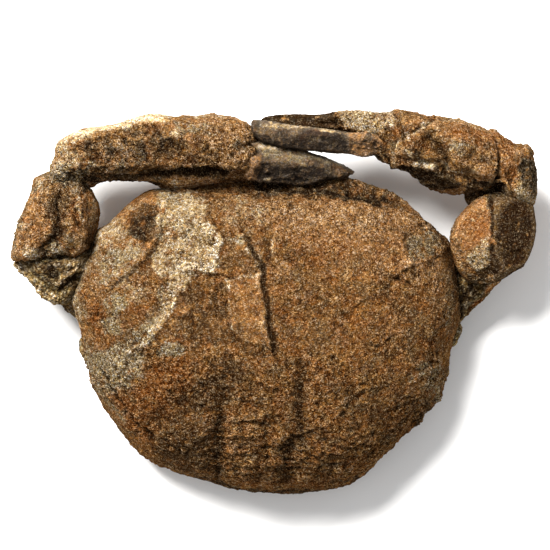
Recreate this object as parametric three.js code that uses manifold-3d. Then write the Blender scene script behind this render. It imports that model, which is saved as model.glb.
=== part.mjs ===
// A fossil crab lying on its underside, claws folded across its front.
//
// Millimetres. +X is the crab's right, +Y its front, +Z up. The origin is the middle of the footprint, on the
// surface that the crab rests on. Each hard piece of the crab is its own solid: the carapace, and for each
// arm the ischium and merus (the two upper pieces), the carpus (wrist), the palm with its fixed finger, and
// the movable finger. Two stumps of walking legs stay under the carapace's edge.
//
// Two kinds of shape make all of them, both from a unit sphere's grid:
//   a lump follows a closed outline seen from above, domed over and under it;
//   a limb is a row of oval sections along X, with a rounded end on each side.
// Flat facets are then cut on the arms, and the carapace gets its raised flakes and sunken furrows.

import * as THREE from "three";
import { mergeVertices } from "three/addons/utils/BufferGeometryUtils.js";
import Module from "manifold-3d";

const CLEARANCE = 0.35; // between neighbouring pieces
const CAP_SHARE = 0.2; // of a limb's rings, on each of its rounded ends

// ---------------------------------------------------------------- driving dimensions

const CARAPACE = {
  centre: [-2.3, -10.8],
  baseCentre: [0, -2],
  rim: 17,
  lean: 0.15, // rise of the rim for each millimetre forward: the back edge lies low
  crown: 47,
  base: -3,
  restPlane: 0, // the underside is worn flat here
  top: { plan: 2.7, height: 1.9 },
  under: { plan: 2.3, height: 1.8 },
  outline: [
    [-41.7, 37.5], [-50, 32.2], [-55.7, 26.5], [-60, 23.5], [-61.7, 18.2], [-64.7, 14.2], [-66, 7.5],
    [-68, 0.8], [-66.3, -4.2], [-64.3, -10.8], [-63, -19.2], [-61, -27.5], [-57.3, -35.2], [-51.7, -43.2],
    [-44.3, -51.2], [-36.7, -55.5], [-25, -59.5], [-11.7, -62.8], [5, -64.2], [20, -62.5], [30, -57.8],
    [36.7, -50.8], [45, -42.8], [53.3, -34.2], [57, -25.2], [59.3, -14.2], [61.7, -5.2], [61.3, 4.2],
    [60, 13.5], [58, 20.5], [52.3, 25.2], [46.7, 30.8], [40, 36.2], [31.7, 39.8], [23.3, 41.8], [8.3, 42.2],
    [-8.3, 41.5], [-23.3, 38.8], [-33.3, 37.5],
  ],
  grid: [44, 18],
};

// Patches of the carapace's top where a layer stands proud, or is missing where the height is negative.
const CARAPACE_PATCHES = {
  centralPlate: {
    height: 1.6,
    outline: [
      [-16.7, 7.2], [-12.3, 7.8], [-8.3, 8.5], [-4.7, 10.2], [-4.3, 5.8], [-3.3, -0.8], [-2, -9.2],
      [-1.3, -14.5], [-8.3, -12.8], [-12.7, -11.8], [-14.7, -6.5], [-15.3, 0.2],
    ],
  },
  frontPlate: {
    height: 0.9,
    outline: [
      [-25, 31.2], [-10.7, 22.2], [-7.7, 16.8], [-4.7, 10.8], [-4.9, 10], [-8.3, 8.2], [-16, 7], [-20, 8.8],
      [-29, 11.5], [-31.7, 18.8], [-27, 28],
    ],
  },
  leftFrontPlate: {
    height: 1,
    outline: [
      [-39, 21.5], [-39.3, 18.5], [-41.7, 14.8], [-43.7, 13.5], [-46, 12.5], [-48, 10.8], [-50, 8.2],
      [-55, 5.8], [-61, 9], [-58, 20], [-52, 25.5], [-46, 29],
    ],
  },
  rightFrontPlate: {
    height: 0.8,
    outline: [[43.3, 24], [48.3, 24.2], [54, 20], [55, 16.8], [48, 14], [42, 9.5], [40, 14], [41.7, 20]],
  },
  veinRidge: {
    height: 0.9,
    outline: [
      [-30.5, 12.5], [-25.5, 14], [-28.3, 8.5], [-35, -0.2], [-40.3, -9.5], [-44.7, -14.5], [-48, -15.8],
      [-43.3, -9.2], [-38.3, 1], [-33.5, 8],
    ],
  },
  leftFurrow: {
    height: -1.1,
    outline: [[-19.3, -27.5], [-20.7, -38], [-20.7, -50], [-18.5, -56], [-18, -45], [-18, -34]],
  },
  rightFurrow: {
    height: -1.1,
    outline: [[10.3, -16.2], [9, -28], [8.3, -42], [9, -54], [11.7, -54], [12, -40], [12.3, -26]],
  },
  leftValley: {
    height: -1.2,
    outline: [[-23.3, -22], [-31.7, -27], [-40.5, -31.5], [-42, -33.8], [-34, -31], [-25, -26]],
  },
  leftMargin: {
    height: -1.1,
    outline: [
      [-58, -24], [-54.5, -31], [-49, -39.5], [-42.5, -46.5], [-41.5, -44.5], [-47, -37.5], [-53, -29],
      [-56.5, -23],
    ],
  },
};

const LEFT_ISCHIUM = {
  centre: [-67, 0.6],
  rim: 12,
  crown: 19,
  base: 6,
  outline: [
    [-73, 2.2], [-71.3, -1.5], [-68.3, -3.8], [-64, -6.8], [-61, -5.2], [-60, 0.8], [-62.3, 5.5],
    [-66.3, 6.8], [-71, 5.5],
  ],
  grid: [16, 8],
};

const LEFT_MERUS = {
  centre: [-75, 9],
  rim: 20,
  crown: 33,
  base: 9,
  outline: [
    [-87.3, 13.5], [-86, 10.5], [-82.3, 6.8], [-78.3, 2.8], [-74.3, 0.5], [-71, -0.2], [-67.3, 1.5],
    [-65.3, 5.8], [-64.6, 10.8], [-63.7, 15.5], [-68.3, 17.5], [-76.7, 16.5], [-82.3, 16.2],
  ],
  grid: [20, 10],
  facets: [
    { at: [-80, 8, 27], facing: [-0.4, -0.3, 0.86] },
    { at: [-70, 8, 30], facing: [0.3, -0.3, 0.9] },
  ],
};

const LEFT_CARPUS = {
  centre: [-73.3, 28],
  rim: 25,
  crown: 40,
  base: 12,
  outline: [
    [-77.7, 42.8], [-80.3, 40.8], [-82.3, 35.8], [-84.7, 29.8], [-86.3, 22.8], [-87.7, 16.2],
    [-86.5, 13.8], [-80, 14.5], [-71.7, 15.5], [-64.3, 16.2], [-61.3, 19.8], [-59.7, 24.8],
    [-58.7, 31.8], [-60, 35.8], [-61.7, 38.8], [-65.7, 41.5], [-71.7, 43.2],
  ],
  grid: [24, 12],
  facets: [
    { at: [-81, 28, 35.5], facing: [-0.45, 0, 0.9] },
    { at: [-66, 28, 37], facing: [0.45, 0.1, 0.88] },
  ],
};

const RIGHT_ISCHIUM = {
  centre: [66, 2.5],
  rim: 12,
  crown: 19,
  base: 6,
  outline: [
    [59, 7.5], [59, -0.8], [61, -6.5], [63.7, -4.8], [67, -1.5], [70.7, 1.5], [74, 5.5], [76, 7.8],
    [71.7, 10.8], [65, 11.5],
  ],
  grid: [18, 8],
};

const RIGHT_MERUS = {
  centre: [73, 21.5],
  rim: 22,
  crown: 38,
  base: 9,
  outline: [
    [66.3, 34.2], [62.3, 30.2], [60, 26.2], [59.3, 21.5], [60.3, 16.2], [62.3, 10.8], [65.7, 7.2],
    [70.3, 6.2], [75.3, 7.5], [79.7, 10.2], [83.7, 13.2], [85.7, 17.5], [87, 23.5], [86.7, 29.5],
    [85.3, 33.8], [80.3, 37.2], [75, 37.8], [70.3, 36.5],
  ],
  grid: [24, 12],
  facets: [
    { at: [66, 22, 34.5], facing: [-0.4, 0.05, 0.92] },
    { at: [79, 22, 33.5], facing: [0.5, -0.1, 0.85] },
  ],
};

const RIGHT_CARPUS = {
  centre: [79, 42.5],
  rim: 24,
  crown: 38,
  base: 12,
  outline: [
    [72, 57.2], [76.7, 54.8], [81.7, 52.5], [85, 51.7], [86.3, 48.2], [87.5, 43.5], [87.7, 37.5],
    [86.8, 32.8], [81.7, 32.2], [75, 33.2], [69, 33.5], [65, 33.2], [63.7, 35.8], [64.3, 38.8],
    [69, 40.8], [71, 48],
  ],
  grid: [20, 10],
  facets: [
    { at: [83, 43, 34], facing: [0.5, 0.1, 0.86] },
  ],
};

const LEFT_LEG_STUMP = {
  centre: [-62.6, -15.2],
  rim: 11,
  crown: 16,
  base: 5,
  outline: [
    [-65.7, -12.8], [-65.7, -16.5], [-63.7, -19.2], [-60, -18.5], [-58, -14.2], [-60.7, -11.5],
    [-63.7, -11.5],
  ],
  grid: [14, 8],
};

const RIGHT_LEG_STUMP = {
  centre: [60, -10.6],
  rim: 10,
  crown: 15,
  base: 4,
  outline: [[61.7, -6.5], [63, -8.5], [62.7, -10.8], [60.7, -14.2], [58, -14.8], [56.7, -10.8], [58, -6.5]],
  grid: [14, 8],
};

// A limb's sections: x, front edge (+Y), back edge (-Y), top, bottom.
const LEFT_PALM = {
  end: 3,
  square: 2.6,
  sections: [
    [-74.3, 46, 40.8, 36, 22], [-71.7, 53.8, 39.5, 41, 18], [-65, 57.8, 39.5, 43, 17],
    [-55, 59.3, 40.5, 44, 16], [-43.3, 62.2, 40.5, 44, 16], [-31.7, 61.8, 40.5, 44, 16],
    [-20, 62.3, 41.5, 43, 17], [-11.7, 60.8, 42.5, 41, 19], [-6.3, 57.5, 45.5, 38, 21],
  ],
  grid: [20, 14],
  facets: [
    { at: [-45, 58.6, 39], facing: [0, 0.7, 0.7] },
    { at: [-40, 46, 41], facing: [0.02, -0.3, 0.95] },
    { at: [-70, 50, 38.5], facing: [-0.5, 0, 0.87] },
  ],
};

const LEFT_FIXED_FINGER = {
  end: 3,
  square: 2.2,
  sections: [
    [-36, 52, 39.8, 26, 13], [-28.3, 52, 37.2, 25, 11], [-20, 52, 38.2, 24, 11], [-8.3, 51.5, 40.2, 22, 12],
    [5, 50.2, 41.5, 21, 12.5], [16.7, 47.8, 42.2, 19.5, 13.5], [22.5, 45.8, 42.8, 18, 15],
  ],
  grid: [14, 10],
};

const LEFT_MOVABLE_FINGER = {
  end: 2,
  square: 2.2,
  sections: [
    [-11.7, 53.2, 43.5, 37, 25], [-6.7, 53.8, 41.2, 38, 23], [0, 52.5, 40.2, 37.5, 22],
    [8.3, 51, 39.5, 36, 21.5], [16.7, 48.5, 40.8, 33, 21], [22.3, 46.2, 41.5, 30, 21.5],
    [26.3, 44, 43.2, 26.5, 24],
  ],
  grid: [18, 14],
  facets: [
    { at: [5, 48.6, 35], facing: [0, 0.35, 0.93] },
    { at: [5, 42.4, 34], facing: [0, -0.75, 0.66] },
  ],
};

const RIGHT_PALM = {
  end: 3,
  square: 2.6,
  sections: [
    [19.3, 63, 58.2, 33, 20], [23.3, 64, 56.5, 36, 18], [29, 63.7, 54.2, 38, 17], [35, 63, 48.2, 40, 16],
    [40.3, 63.7, 45.2, 42, 15], [45.7, 63.4, 43.2, 43, 15], [51.7, 61.5, 38.5, 44, 14],
    [60, 60.7, 36.5, 44, 14], [66.7, 58.8, 37.5, 43, 14], [71.7, 57, 38.5, 42, 15],
    [75.3, 52.5, 43.5, 39, 18],
  ],
  grid: [20, 14],
  facets: [
    { at: [51.7, 48.5, 40.5], facing: [-0.15, -0.75, 0.64] },
    { at: [29, 58, 37.2], facing: [-0.35, -0.1, 0.93] },
    { at: [70, 50, 41], facing: [0.3, 0, 0.95] },
  ],
};

const RIGHT_FIXED_FINGER = {
  end: 1.5,
  square: 3,
  sections: [
    [-5, 61.8, 59, 31, 22], [0, 62.3, 58.8, 32, 21], [8.3, 62.4, 58.2, 32.5, 20], [16.7, 63, 57.2, 33, 19],
    [23.3, 63.6, 57, 34, 18],
  ],
  grid: [14, 8],
};

const RIGHT_MOVABLE_FINGER = {
  end: 2,
  square: 2.6,
  sections: [
    [-7.7, 60, 55.5, 38, 28], [-4.3, 60.3, 52.2, 39, 27], [3.3, 59.5, 51.4, 40, 26],
    [11.7, 58.2, 50.7, 40.5, 25], [20, 57.2, 50.2, 41, 24], [26.7, 56.2, 49.2, 41, 23],
    [32.3, 55.5, 49.2, 40, 23], [37.7, 53.5, 50.8, 37, 25],
  ],
  grid: [16, 14],
  facets: [
    { at: [10, 57.6, 38.6], facing: [0, 0.6, 0.8] },
    { at: [10, 52.5, 38.6], facing: [0, -0.5, 0.86] },
  ],
};

// ---------------------------------------------------------------- shapes

const wasm = await Module();
wasm.setup();

/** The solid inside a closed geometry. */
function solidOf(geometry) {
  geometry.deleteAttribute("normal");
  geometry.deleteAttribute("uv");
  const merged = mergeVertices(geometry, 1e-3);
  return new wasm.Manifold(
    new wasm.Mesh({
      numProp: 3,
      vertProperties: merged.attributes.position.array,
      triVerts: new Uint32Array(merged.index.array),
    }),
  );
}

/** A geometry of a solid's surface. */
function geometryOf(solid) {
  const mesh = solid.getMesh();
  const geometry = new THREE.BufferGeometry();
  geometry.setAttribute("position", new THREE.BufferAttribute(mesh.vertProperties, 3));
  geometry.setIndex(new THREE.BufferAttribute(mesh.triVerts, 1));
  geometry.computeVertexNormals();
  return geometry;
}

/** A solid with what lies beyond each of its flat facets cut away. */
function faceted(solid, facets = [], grow = 0) {
  return facets.reduce((rest, { at, facing }) => {
    const outward = new THREE.Vector3(...facing).normalize();
    const offset = outward.dot(new THREE.Vector3(...at)) + grow;
    return rest.trimByPlane(outward.negate().toArray(), -offset);
  }, solid);
}

/** An upright column over the upper half of the carapace, on a closed outline. */
function columnOver(outline) {
  const shape = new THREE.Shape(outline.map(([x, y]) => new THREE.Vector2(x, y)));
  const depth = CARAPACE.crown;
  const column = new THREE.ExtrudeGeometry(shape, { depth, bevelEnabled: false });
  return solidOf(column.translate(0, 0, CARAPACE.rim));
}

/** A unit sphere's grid, each vertex moved to place(u, v): u runs round from 0 to 1, v from pole to pole. */
function gridSolid([around, rings], place) {
  const sphere = new THREE.SphereGeometry(1, around, rings);
  const { position, uv } = sphere.attributes;
  for (let i = 0; i < position.count; i++) {
    const [x, y, z] = place(uv.getX(i) % 1, 1 - uv.getY(i));
    position.setXYZ(i, x, y, z);
  }
  const made = solidOf(sphere);
  return made.volume() < 0 ? solidOf(withFacesTurned(sphere)) : made;
}

/** The same geometry with each face's front on its other side. */
function withFacesTurned(geometry) {
  const index = geometry.index;
  for (let i = 0; i < index.count; i += 3) {
    const second = index.getX(i + 1);
    index.setX(i + 1, index.getX(i + 2));
    index.setX(i + 2, second);
  }
  return geometry;
}

/**
 * A lump: rays run from the centre to a smooth closed outline. Along each, reach^plan + rise^height = 1,
 * where reach goes from 0 at the centre to 1 at the outline, and rise from 1 at the crown or base to 0
 * at the rim.
 */
function lump(size, grow = 0) {
  const { centre, baseCentre = centre, crown, base, lean = 0, restPlane = -Infinity } = size;
  const { top = { plan: 2.4, height: 2 }, under = { plan: 2.4, height: 2 } } = size;
  const edge = new THREE.CatmullRomCurve3(
    size.outline.map(([x, y]) => new THREE.Vector3(x, y, 0)), true, "catmullrom", 0.5,
  );
  const smooth = gridSolid(size.grid, (u, v) => {
    const over = v <= 0.5;
    const angle = over ? v * Math.PI : (1 - v) * Math.PI;
    const { plan, height } = over ? top : under;
    const [cx, cy] = over ? centre : baseCentre;
    const rimPoint = edge.getPoint(u);
    const away = Math.hypot(rimPoint.x - cx, rimPoint.y - cy);
    const reach = Math.sin(angle) ** (2 / plan) * (1 + grow / away);
    const rise = Math.max(Math.cos(angle), 0) ** (2 / height);
    const rim = size.rim + lean * (rimPoint.y - centre[1]);
    const z = over ? rim + rise * (crown + grow - rim) : rim - rise * (rim - base + grow);
    return [cx + reach * (rimPoint.x - cx), cy + reach * (rimPoint.y - cy), Math.max(z, restPlane)];
  });
  return faceted(smooth, size.facets, grow);
}

/** A limb: oval sections, smoothly interpolated along X, with a rounded end of length end at both ends. */
function limb(size, grow = 0) {
  const { sections, end, square, grid } = size;
  const first = sections[0][0];
  const last = sections[sections.length - 1][0];
  const middle = (first + last) / 2;
  const half = (last - first) / 2;
  const edges = [1, 2, 3, 4].map(
    (column) => new THREE.SplineCurve(sections.map((row) => new THREE.Vector2(row[0], row[column]))),
  );
  const smooth = gridSolid(grid, (u, v) => {
    const side = Math.min(v, 1 - v);
    const capAngle = (Math.min(side / CAP_SHARE, 1) * Math.PI) / 2;
    const past = Math.max(side - CAP_SHARE, 0) / (0.5 - CAP_SHARE);
    const inward = end * (1 - Math.cos(capAngle)) + past * (half - end);
    const x = v < 0.5 ? first + inward : last - inward;
    const [front, back, high, low] = edges.map((edge) => valueAt(edge, sections, x));
    const turn = u * 2 * Math.PI;
    const across = signedPower(Math.cos(turn), 2 / square) * Math.sin(capAngle);
    const up = signedPower(Math.sin(turn), 2 / square) * Math.sin(capAngle);
    return [
      middle + (x - middle) * (1 + grow / half),
      (front + back) / 2 + across * ((front - back) / 2 + grow),
      (high + low) / 2 + up * ((high - low) / 2 + grow),
    ];
  });
  return faceted(smooth, size.facets, grow);
}

/** A power that keeps the sign of its base. */
function signedPower(value, power) {
  return Math.sign(value) * Math.abs(value) ** power;
}

/** Where an edge curve is at x: the sections are the curve's knots. */
function valueAt(edge, sections, x) {
  const spans = sections.length - 1;
  const span = Math.min(sections.findLastIndex((row) => row[0] <= x), spans - 1);
  const share = (x - sections[span][0]) / (sections[span + 1][0] - sections[span][0]);
  return edge.getPoint((span + share) / spans).y;
}

// ---------------------------------------------------------------- pieces

/** A solid with one patch of the carapace's top raised on it, or cut into it. */
function withPatch(solid, { height, outline }) {
  const column = columnOver(outline);
  const moved = lump(CARAPACE, height);
  return height > 0 ? solid.add(moved.intersect(column)) : solid.subtract(column.subtract(moved));
}

// The room that a piece takes up in its neighbours is its own shape, grown by the clearance.
const rooms = {
  carapace: lump(CARAPACE, CLEARANCE),
  leftMerus: lump(LEFT_MERUS, CLEARANCE),
  leftCarpus: lump(LEFT_CARPUS, CLEARANCE),
  leftPalm: limb(LEFT_PALM, CLEARANCE),
  leftFinger: limb(LEFT_MOVABLE_FINGER, CLEARANCE),
  rightIschium: lump(RIGHT_ISCHIUM, CLEARANCE),
  rightMerus: lump(RIGHT_MERUS, CLEARANCE),
  rightPalm: limb(RIGHT_PALM, CLEARANCE),
  rightFinger: limb(RIGHT_MOVABLE_FINGER, CLEARANCE),
};

/** A solid with the rooms of its neighbours cut out of it. */
function clearOf(solid, ...neighbours) {
  return neighbours.reduce((rest, name) => rest.subtract(rooms[name]), solid);
}

const leftClaw = limb(LEFT_PALM).add(limb(LEFT_FIXED_FINGER));
const rightClaw = limb(RIGHT_PALM).add(limb(RIGHT_FIXED_FINGER));

const carapace = Object.values(CARAPACE_PATCHES).reduce(withPatch, lump(CARAPACE));
const leftIschium = clearOf(lump(LEFT_ISCHIUM), "carapace", "leftMerus");
const leftMerus = clearOf(lump(LEFT_MERUS), "carapace", "leftCarpus");
const leftCarpus = clearOf(lump(LEFT_CARPUS), "carapace");
const leftPalm = clearOf(leftClaw, "carapace", "leftCarpus", "leftFinger");
const leftFinger = clearOf(limb(LEFT_MOVABLE_FINGER), "carapace");
const rightIschium = clearOf(lump(RIGHT_ISCHIUM), "carapace", "rightMerus");
const rightMerus = clearOf(lump(RIGHT_MERUS), "carapace");
const rightCarpus = clearOf(lump(RIGHT_CARPUS), "rightPalm", "rightMerus");
const rightPalm = clearOf(rightClaw, "rightFinger");
const rightFinger = clearOf(limb(RIGHT_MOVABLE_FINGER), "leftFinger", "leftPalm");
const leftStump = clearOf(lump(LEFT_LEG_STUMP), "carapace");
const rightStump = clearOf(lump(RIGHT_LEG_STUMP), "carapace", "rightIschium");

// ---------------------------------------------------------------- the crab

const SHELL = { color: 0x94683a, roughness: 0.9, metalness: 0 };
const MATRIX = { color: 0x8a7350, roughness: 0.95, metalness: 0 };
const DARK_SHELL = { color: 0x4a3c2e, roughness: 0.75, metalness: 0 };

const pieces = {
  carapace: [carapace, SHELL],
  left_ischium: [leftIschium, MATRIX],
  left_merus: [leftMerus, MATRIX],
  left_carpus: [leftCarpus, SHELL],
  left_palm: [leftPalm, SHELL],
  left_movable_finger: [leftFinger, DARK_SHELL],
  right_ischium: [rightIschium, MATRIX],
  right_merus: [rightMerus, SHELL],
  right_carpus: [rightCarpus, SHELL],
  right_palm: [rightPalm, SHELL],
  right_movable_finger: [rightFinger, DARK_SHELL],
  left_leg_stump: [leftStump, MATRIX],
  right_leg_stump: [rightStump, MATRIX],
};

const crab = new THREE.Group();
for (const [name, [solid, finish]] of Object.entries(pieces)) {
  const mesh = new THREE.Mesh(geometryOf(solid), new THREE.MeshStandardMaterial(finish));
  mesh.name = name;
  crab.add(mesh);
}

export default crab;
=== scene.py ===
"""The looks of a fossil crab: shell, arms and claws turned to weathered stone, on a plain floor.

Shapes are worked out in millimetres, with +X the crab's right, +Y its front and +Z up, and become metres
where a mesh is made. Two kinds of surface make every piece. A lump follows a closed outline seen from
above, and is domed over and under it. A limb is a row of oval sections along X. Relief, crust and pits then
move each vertex along its normal. How stained, hollow and rough the stone is there, and where light and shade
are painted onto it, is kept in attributes, which the materials read.
"""

import itertools
import logging
import math
from dataclasses import dataclass, field
from enum import Enum
from functools import cached_property

import bpy
import numpy as np
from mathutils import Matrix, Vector


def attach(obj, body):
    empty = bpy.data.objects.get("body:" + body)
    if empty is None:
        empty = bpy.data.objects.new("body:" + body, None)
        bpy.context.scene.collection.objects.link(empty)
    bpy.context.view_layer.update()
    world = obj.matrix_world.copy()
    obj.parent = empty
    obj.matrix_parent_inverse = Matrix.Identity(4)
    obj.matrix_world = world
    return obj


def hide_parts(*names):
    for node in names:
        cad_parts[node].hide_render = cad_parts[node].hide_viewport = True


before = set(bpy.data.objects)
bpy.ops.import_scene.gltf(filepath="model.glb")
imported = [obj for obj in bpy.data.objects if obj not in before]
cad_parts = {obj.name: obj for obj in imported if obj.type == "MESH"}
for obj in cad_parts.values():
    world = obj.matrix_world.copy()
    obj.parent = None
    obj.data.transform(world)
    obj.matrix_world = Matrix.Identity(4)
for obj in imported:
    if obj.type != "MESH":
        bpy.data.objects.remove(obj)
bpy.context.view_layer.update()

MM = 0.001  # metres in a millimetre
BODY = "root"
SPACING = 0.45  # between a piece's vertices
MOST_CELLS = 280  # across a lump's top
RAGGED = 0.6  # how far the edges of relief wander
BLOTCHED = 1.1  # how far the edges of stains and of painted light and shade wander
LIT = 0.58  # a colour's strength, as a share of how it looks in full light
RUGGED_GAIN = 0.6  # how much stronger the skin is on rugged ground
CALM_LOSS = 0.65  # how much weaker the skin is on calm ground
RELIEF_SLOPE = 0.4  # a normal's height, up or down, from which relief acts in full
STAIN_SLOPE = 0.3  # how fast stains and painted light and shade fade where the surface turns to the side
STAIN_REACH = 0.7  # how far stains and painted light and shade go on past the side
MOST_STAIN = 3  # a tint's largest share
EVEN_ROUNDS = 3  # of relaxing the normals that stains go by
HOLLOW_ROUNDS = 10  # of relaxing the surface that hollows are measured from
log = logging.getLogger("fossil_crab")

Line = tuple[tuple[float, float], ...]
Spot3 = tuple[float, float, float]
Colour = tuple[float, float, float, float]


class Tint(Enum):
    """A colour that the stone's surface may carry: some marks are stains, some are painted light and shade.
    The value is the name of its attribute.
    """

    TAN = "tan"
    PALE = "pale"
    CREAM = "cream"
    GREY = "grey"
    IRON = "iron"
    DARK = "dark"
    CHAR = "char"


# ---------------------------------------------------------------- helpers


def smooth(value: np.ndarray) -> np.ndarray:
    """0 below 0, 1 above 1, and an S between them: 3v² - 2v³."""
    v = np.clip(value, 0, 1)
    return v * v * (3 - 2 * v)


def colour(red: int, green: int, blue: int) -> Colour:
    """A linear colour from how it looks in full light, as display values of 0 to 255."""
    parts = (c / 255 for c in (red, green, blue))
    return (*(LIT * (c / 12.92 if c <= 0.04045 else ((c + 0.055) / 1.055) ** 2.4) for c in parts), 1.0)


def distance_to_line(plan: np.ndarray, line: Line) -> tuple[np.ndarray, np.ndarray]:
    """How far each point lies from a line of straight stretches, and on which side.

    Each point is projected onto each stretch, held between its ends, and the nearest stretch counts. The
    side is the sign of the cross product with it.

    Args:
        plan: points seen from above, one in each row.
        line: the line's corners.

    Returns:
        The distances, and the sides: 1 on the left of the way that the line runs, and -1 on its right.
    """
    nearest = np.full(len(plan), np.inf)
    side = np.ones(len(plan))
    corners = np.array(line, float)
    for start, end in zip(corners[:-1], corners[1:]):
        run = end - start
        offset = plan - start
        share = np.clip(offset @ run / (run @ run), 0, 1)
        gap = np.linalg.norm(offset - share[:, None] * run, axis=1)
        left = np.where(run[0] * offset[:, 1] - run[1] * offset[:, 0] >= 0, 1.0, -1.0)
        side = np.where(gap < nearest, left, side)
        nearest = np.minimum(gap, nearest)
    return nearest, side


def is_inside(plan: np.ndarray, outline: Line) -> np.ndarray:
    """Whether each point lies in a closed outline: a ray from it crosses that an odd number of times."""
    inside = np.zeros(len(plan), bool)
    for (x0, y0), (x1, y1) in zip(outline, outline[1:] + outline[:1]):
        if y0 != y1:
            spans = (y0 > plan[:, 1]) != (y1 > plan[:, 1])
            inside ^= spans & (plan[:, 0] < x0 + (plan[:, 1] - y0) * (x1 - x0) / (y1 - y0))
    return inside


def box(left: float, right: float, back: float, front: float) -> Line:
    """The outline of an upright box in the plan."""
    return ((left, back), (right, back), (right, front), (left, front))


@dataclass(frozen=True)
class Noise:
    """Lattice noise in space. The same seed gives the same values on every run."""

    seed: int

    @cached_property
    def order(self) -> np.ndarray:
        """The numbers 0 to 255 in a shuffled order."""
        return np.random.default_rng(self.seed).permutation(256)

    @cached_property
    def directions(self) -> np.ndarray:
        """256 directions, even over the sphere."""
        made = np.random.default_rng(self.seed + 1).normal(size=(256, 3))
        return made / np.linalg.norm(made, axis=1, keepdims=True)

    @cached_property
    def places(self) -> np.ndarray:
        """256 places in a unit cell."""
        return np.random.default_rng(self.seed + 2).random((256, 3))

    def key(self, cells: np.ndarray) -> np.ndarray:
        """A number from 0 to 255 for each lattice cell, by looking the axes up in the order one by one."""
        x, y, z = (cells & 255).T
        return self.order[(self.order[(self.order[x] + y) & 255] + z) & 255]

    def single(self, points: np.ndarray, size: float) -> np.ndarray:
        """Gradient noise, from about -1 to 1.

        Each lattice corner holds a direction. A point's value blends, by a smooth fade, the dot products of
        the eight directions round it with the way from each corner to the point.

        Args:
            points: one in each row, in millimetres.
            size: the lattice's cell.

        Returns:
            A value for each point.
        """
        scaled = points / size
        low = np.floor(scaled).astype(np.int64)
        rest = scaled - low
        fade = rest ** 3 * (rest * (rest * 6 - 15) + 10)
        total = np.zeros(len(points))
        for corner in itertools.product((0, 1), repeat=3):
            weight = np.prod(np.where(corner, fade, 1 - fade), axis=1)
            total += weight * np.sum((rest - corner) * self.directions[self.key(low + corner)], axis=1)
        return total * 1.7

    def fractal(self, points: np.ndarray, size: float, octaves: int = 3, gain: float = 0.55) -> np.ndarray:
        """A sum of noises, each half the size of the one before and lower by the gain."""
        return sum(gain ** k * self.single(points + 37.7 * k, size / 2 ** k) for k in range(octaves))

    def ridged(self, points: np.ndarray, size: float, octaves: int = 3, gain: float = 0.6) -> np.ndarray:
        """A sum of folded noises, 1 - 2|n|: sharp crests with round hollows between them."""
        folds = (1 - 2 * np.abs(self.single(points - 19.3 * k, size / 2 ** k)) for k in range(octaves))
        return sum(gain ** k * fold for k, fold in enumerate(folds))

    def cells(self, points: np.ndarray, size: float) -> tuple[np.ndarray, np.ndarray]:
        """Scattered seeds, one to a cell.

        Args:
            points: one in each row, in millimetres.
            size: the width of a cell.

        Returns:
            The distance to the nearest seed, in cells, and that seed's own number from 0 to 1.
        """
        scaled = points / size
        low = np.floor(scaled).astype(np.int64)
        nearest = np.full(len(points), np.inf)
        number = np.zeros(len(points))
        for corner in itertools.product((-1, 0, 1), repeat=3):
            key = self.key(low + corner)
            gap = np.linalg.norm(low + corner + self.places[key] - scaled, axis=1)
            number = np.where(gap < nearest, key / 255, number)
            nearest = np.minimum(gap, nearest)
        return nearest, number


# ---------------------------------------------------------------- marks on the surface, seen from above


@dataclass(frozen=True)
class Patch:
    """An area in a closed outline. Its edge is soft: the signed distance, over the edge's width."""

    outline: Line
    edge: float = 0.8

    def share(self, plan: np.ndarray) -> np.ndarray:
        """1 well inside and 0 outside."""
        gap, _ = distance_to_line(plan, self.outline + self.outline[:1])
        return smooth(0.5 + np.where(is_inside(plan, self.outline), gap, -gap) / self.edge)


@dataclass(frozen=True)
class Streak:
    """A band along a line, with a bell-shaped section: e^-(distance/width)²."""

    line: Line
    width: float

    def share(self, plan: np.ndarray) -> np.ndarray:
        """1 on the line, falling to 0 a few widths away."""
        gap, _ = distance_to_line(plan, self.line)
        return np.exp(-((gap / self.width) ** 2))


@dataclass(frozen=True)
class Scarp:
    """A step along a line: full height on its left, sinking over the fall, by e^-(distance/fall)."""

    line: Line
    fall: float
    edge: float = 0.5

    def share(self, plan: np.ndarray) -> np.ndarray:
        """1 just left of the line, 0 on its right."""
        gap, side = distance_to_line(plan, self.line)
        return smooth(0.5 + side * gap / self.edge) * np.exp(-gap / self.fall)


@dataclass(frozen=True)
class Spot:
    """An oval with a soft edge: e^-r^power, where r is the distance in radii."""

    centre: tuple[float, float]
    radii: tuple[float, float]
    turn: float = 0.0
    power: float = 2.0

    def share(self, plan: np.ndarray) -> np.ndarray:
        """1 in the middle, 0 outside."""
        cos, sin = math.cos(math.radians(self.turn)), math.sin(math.radians(self.turn))
        x, y = (plan - self.centre).T
        r = np.hypot((x * cos + y * sin) / self.radii[0], (y * cos - x * sin) / self.radii[1])
        return np.exp(-(r ** self.power))


Mark = Patch | Streak | Scarp | Spot


@dataclass(frozen=True)
class Relief:
    """A mark that stands proud by its height, or lies sunk where that is negative."""

    mark: Mark
    height: float


@dataclass(frozen=True)
class StainAndPaintedLight:
    """A mark that carries a tint: some are stains, some are painted light and shade."""

    tint: Tint
    amount: float
    mark: Mark


@dataclass(frozen=True)
class Boss:
    """A swelling in space: each vertex near the centre moves out by height · e^-r²."""

    centre: Spot3
    radii: Spot3
    height: float

    def rise(self, points: np.ndarray) -> np.ndarray:
        """How far each point moves out."""
        return self.height * np.exp(-np.sum(((points - self.centre) / self.radii) ** 2, axis=1))


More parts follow.
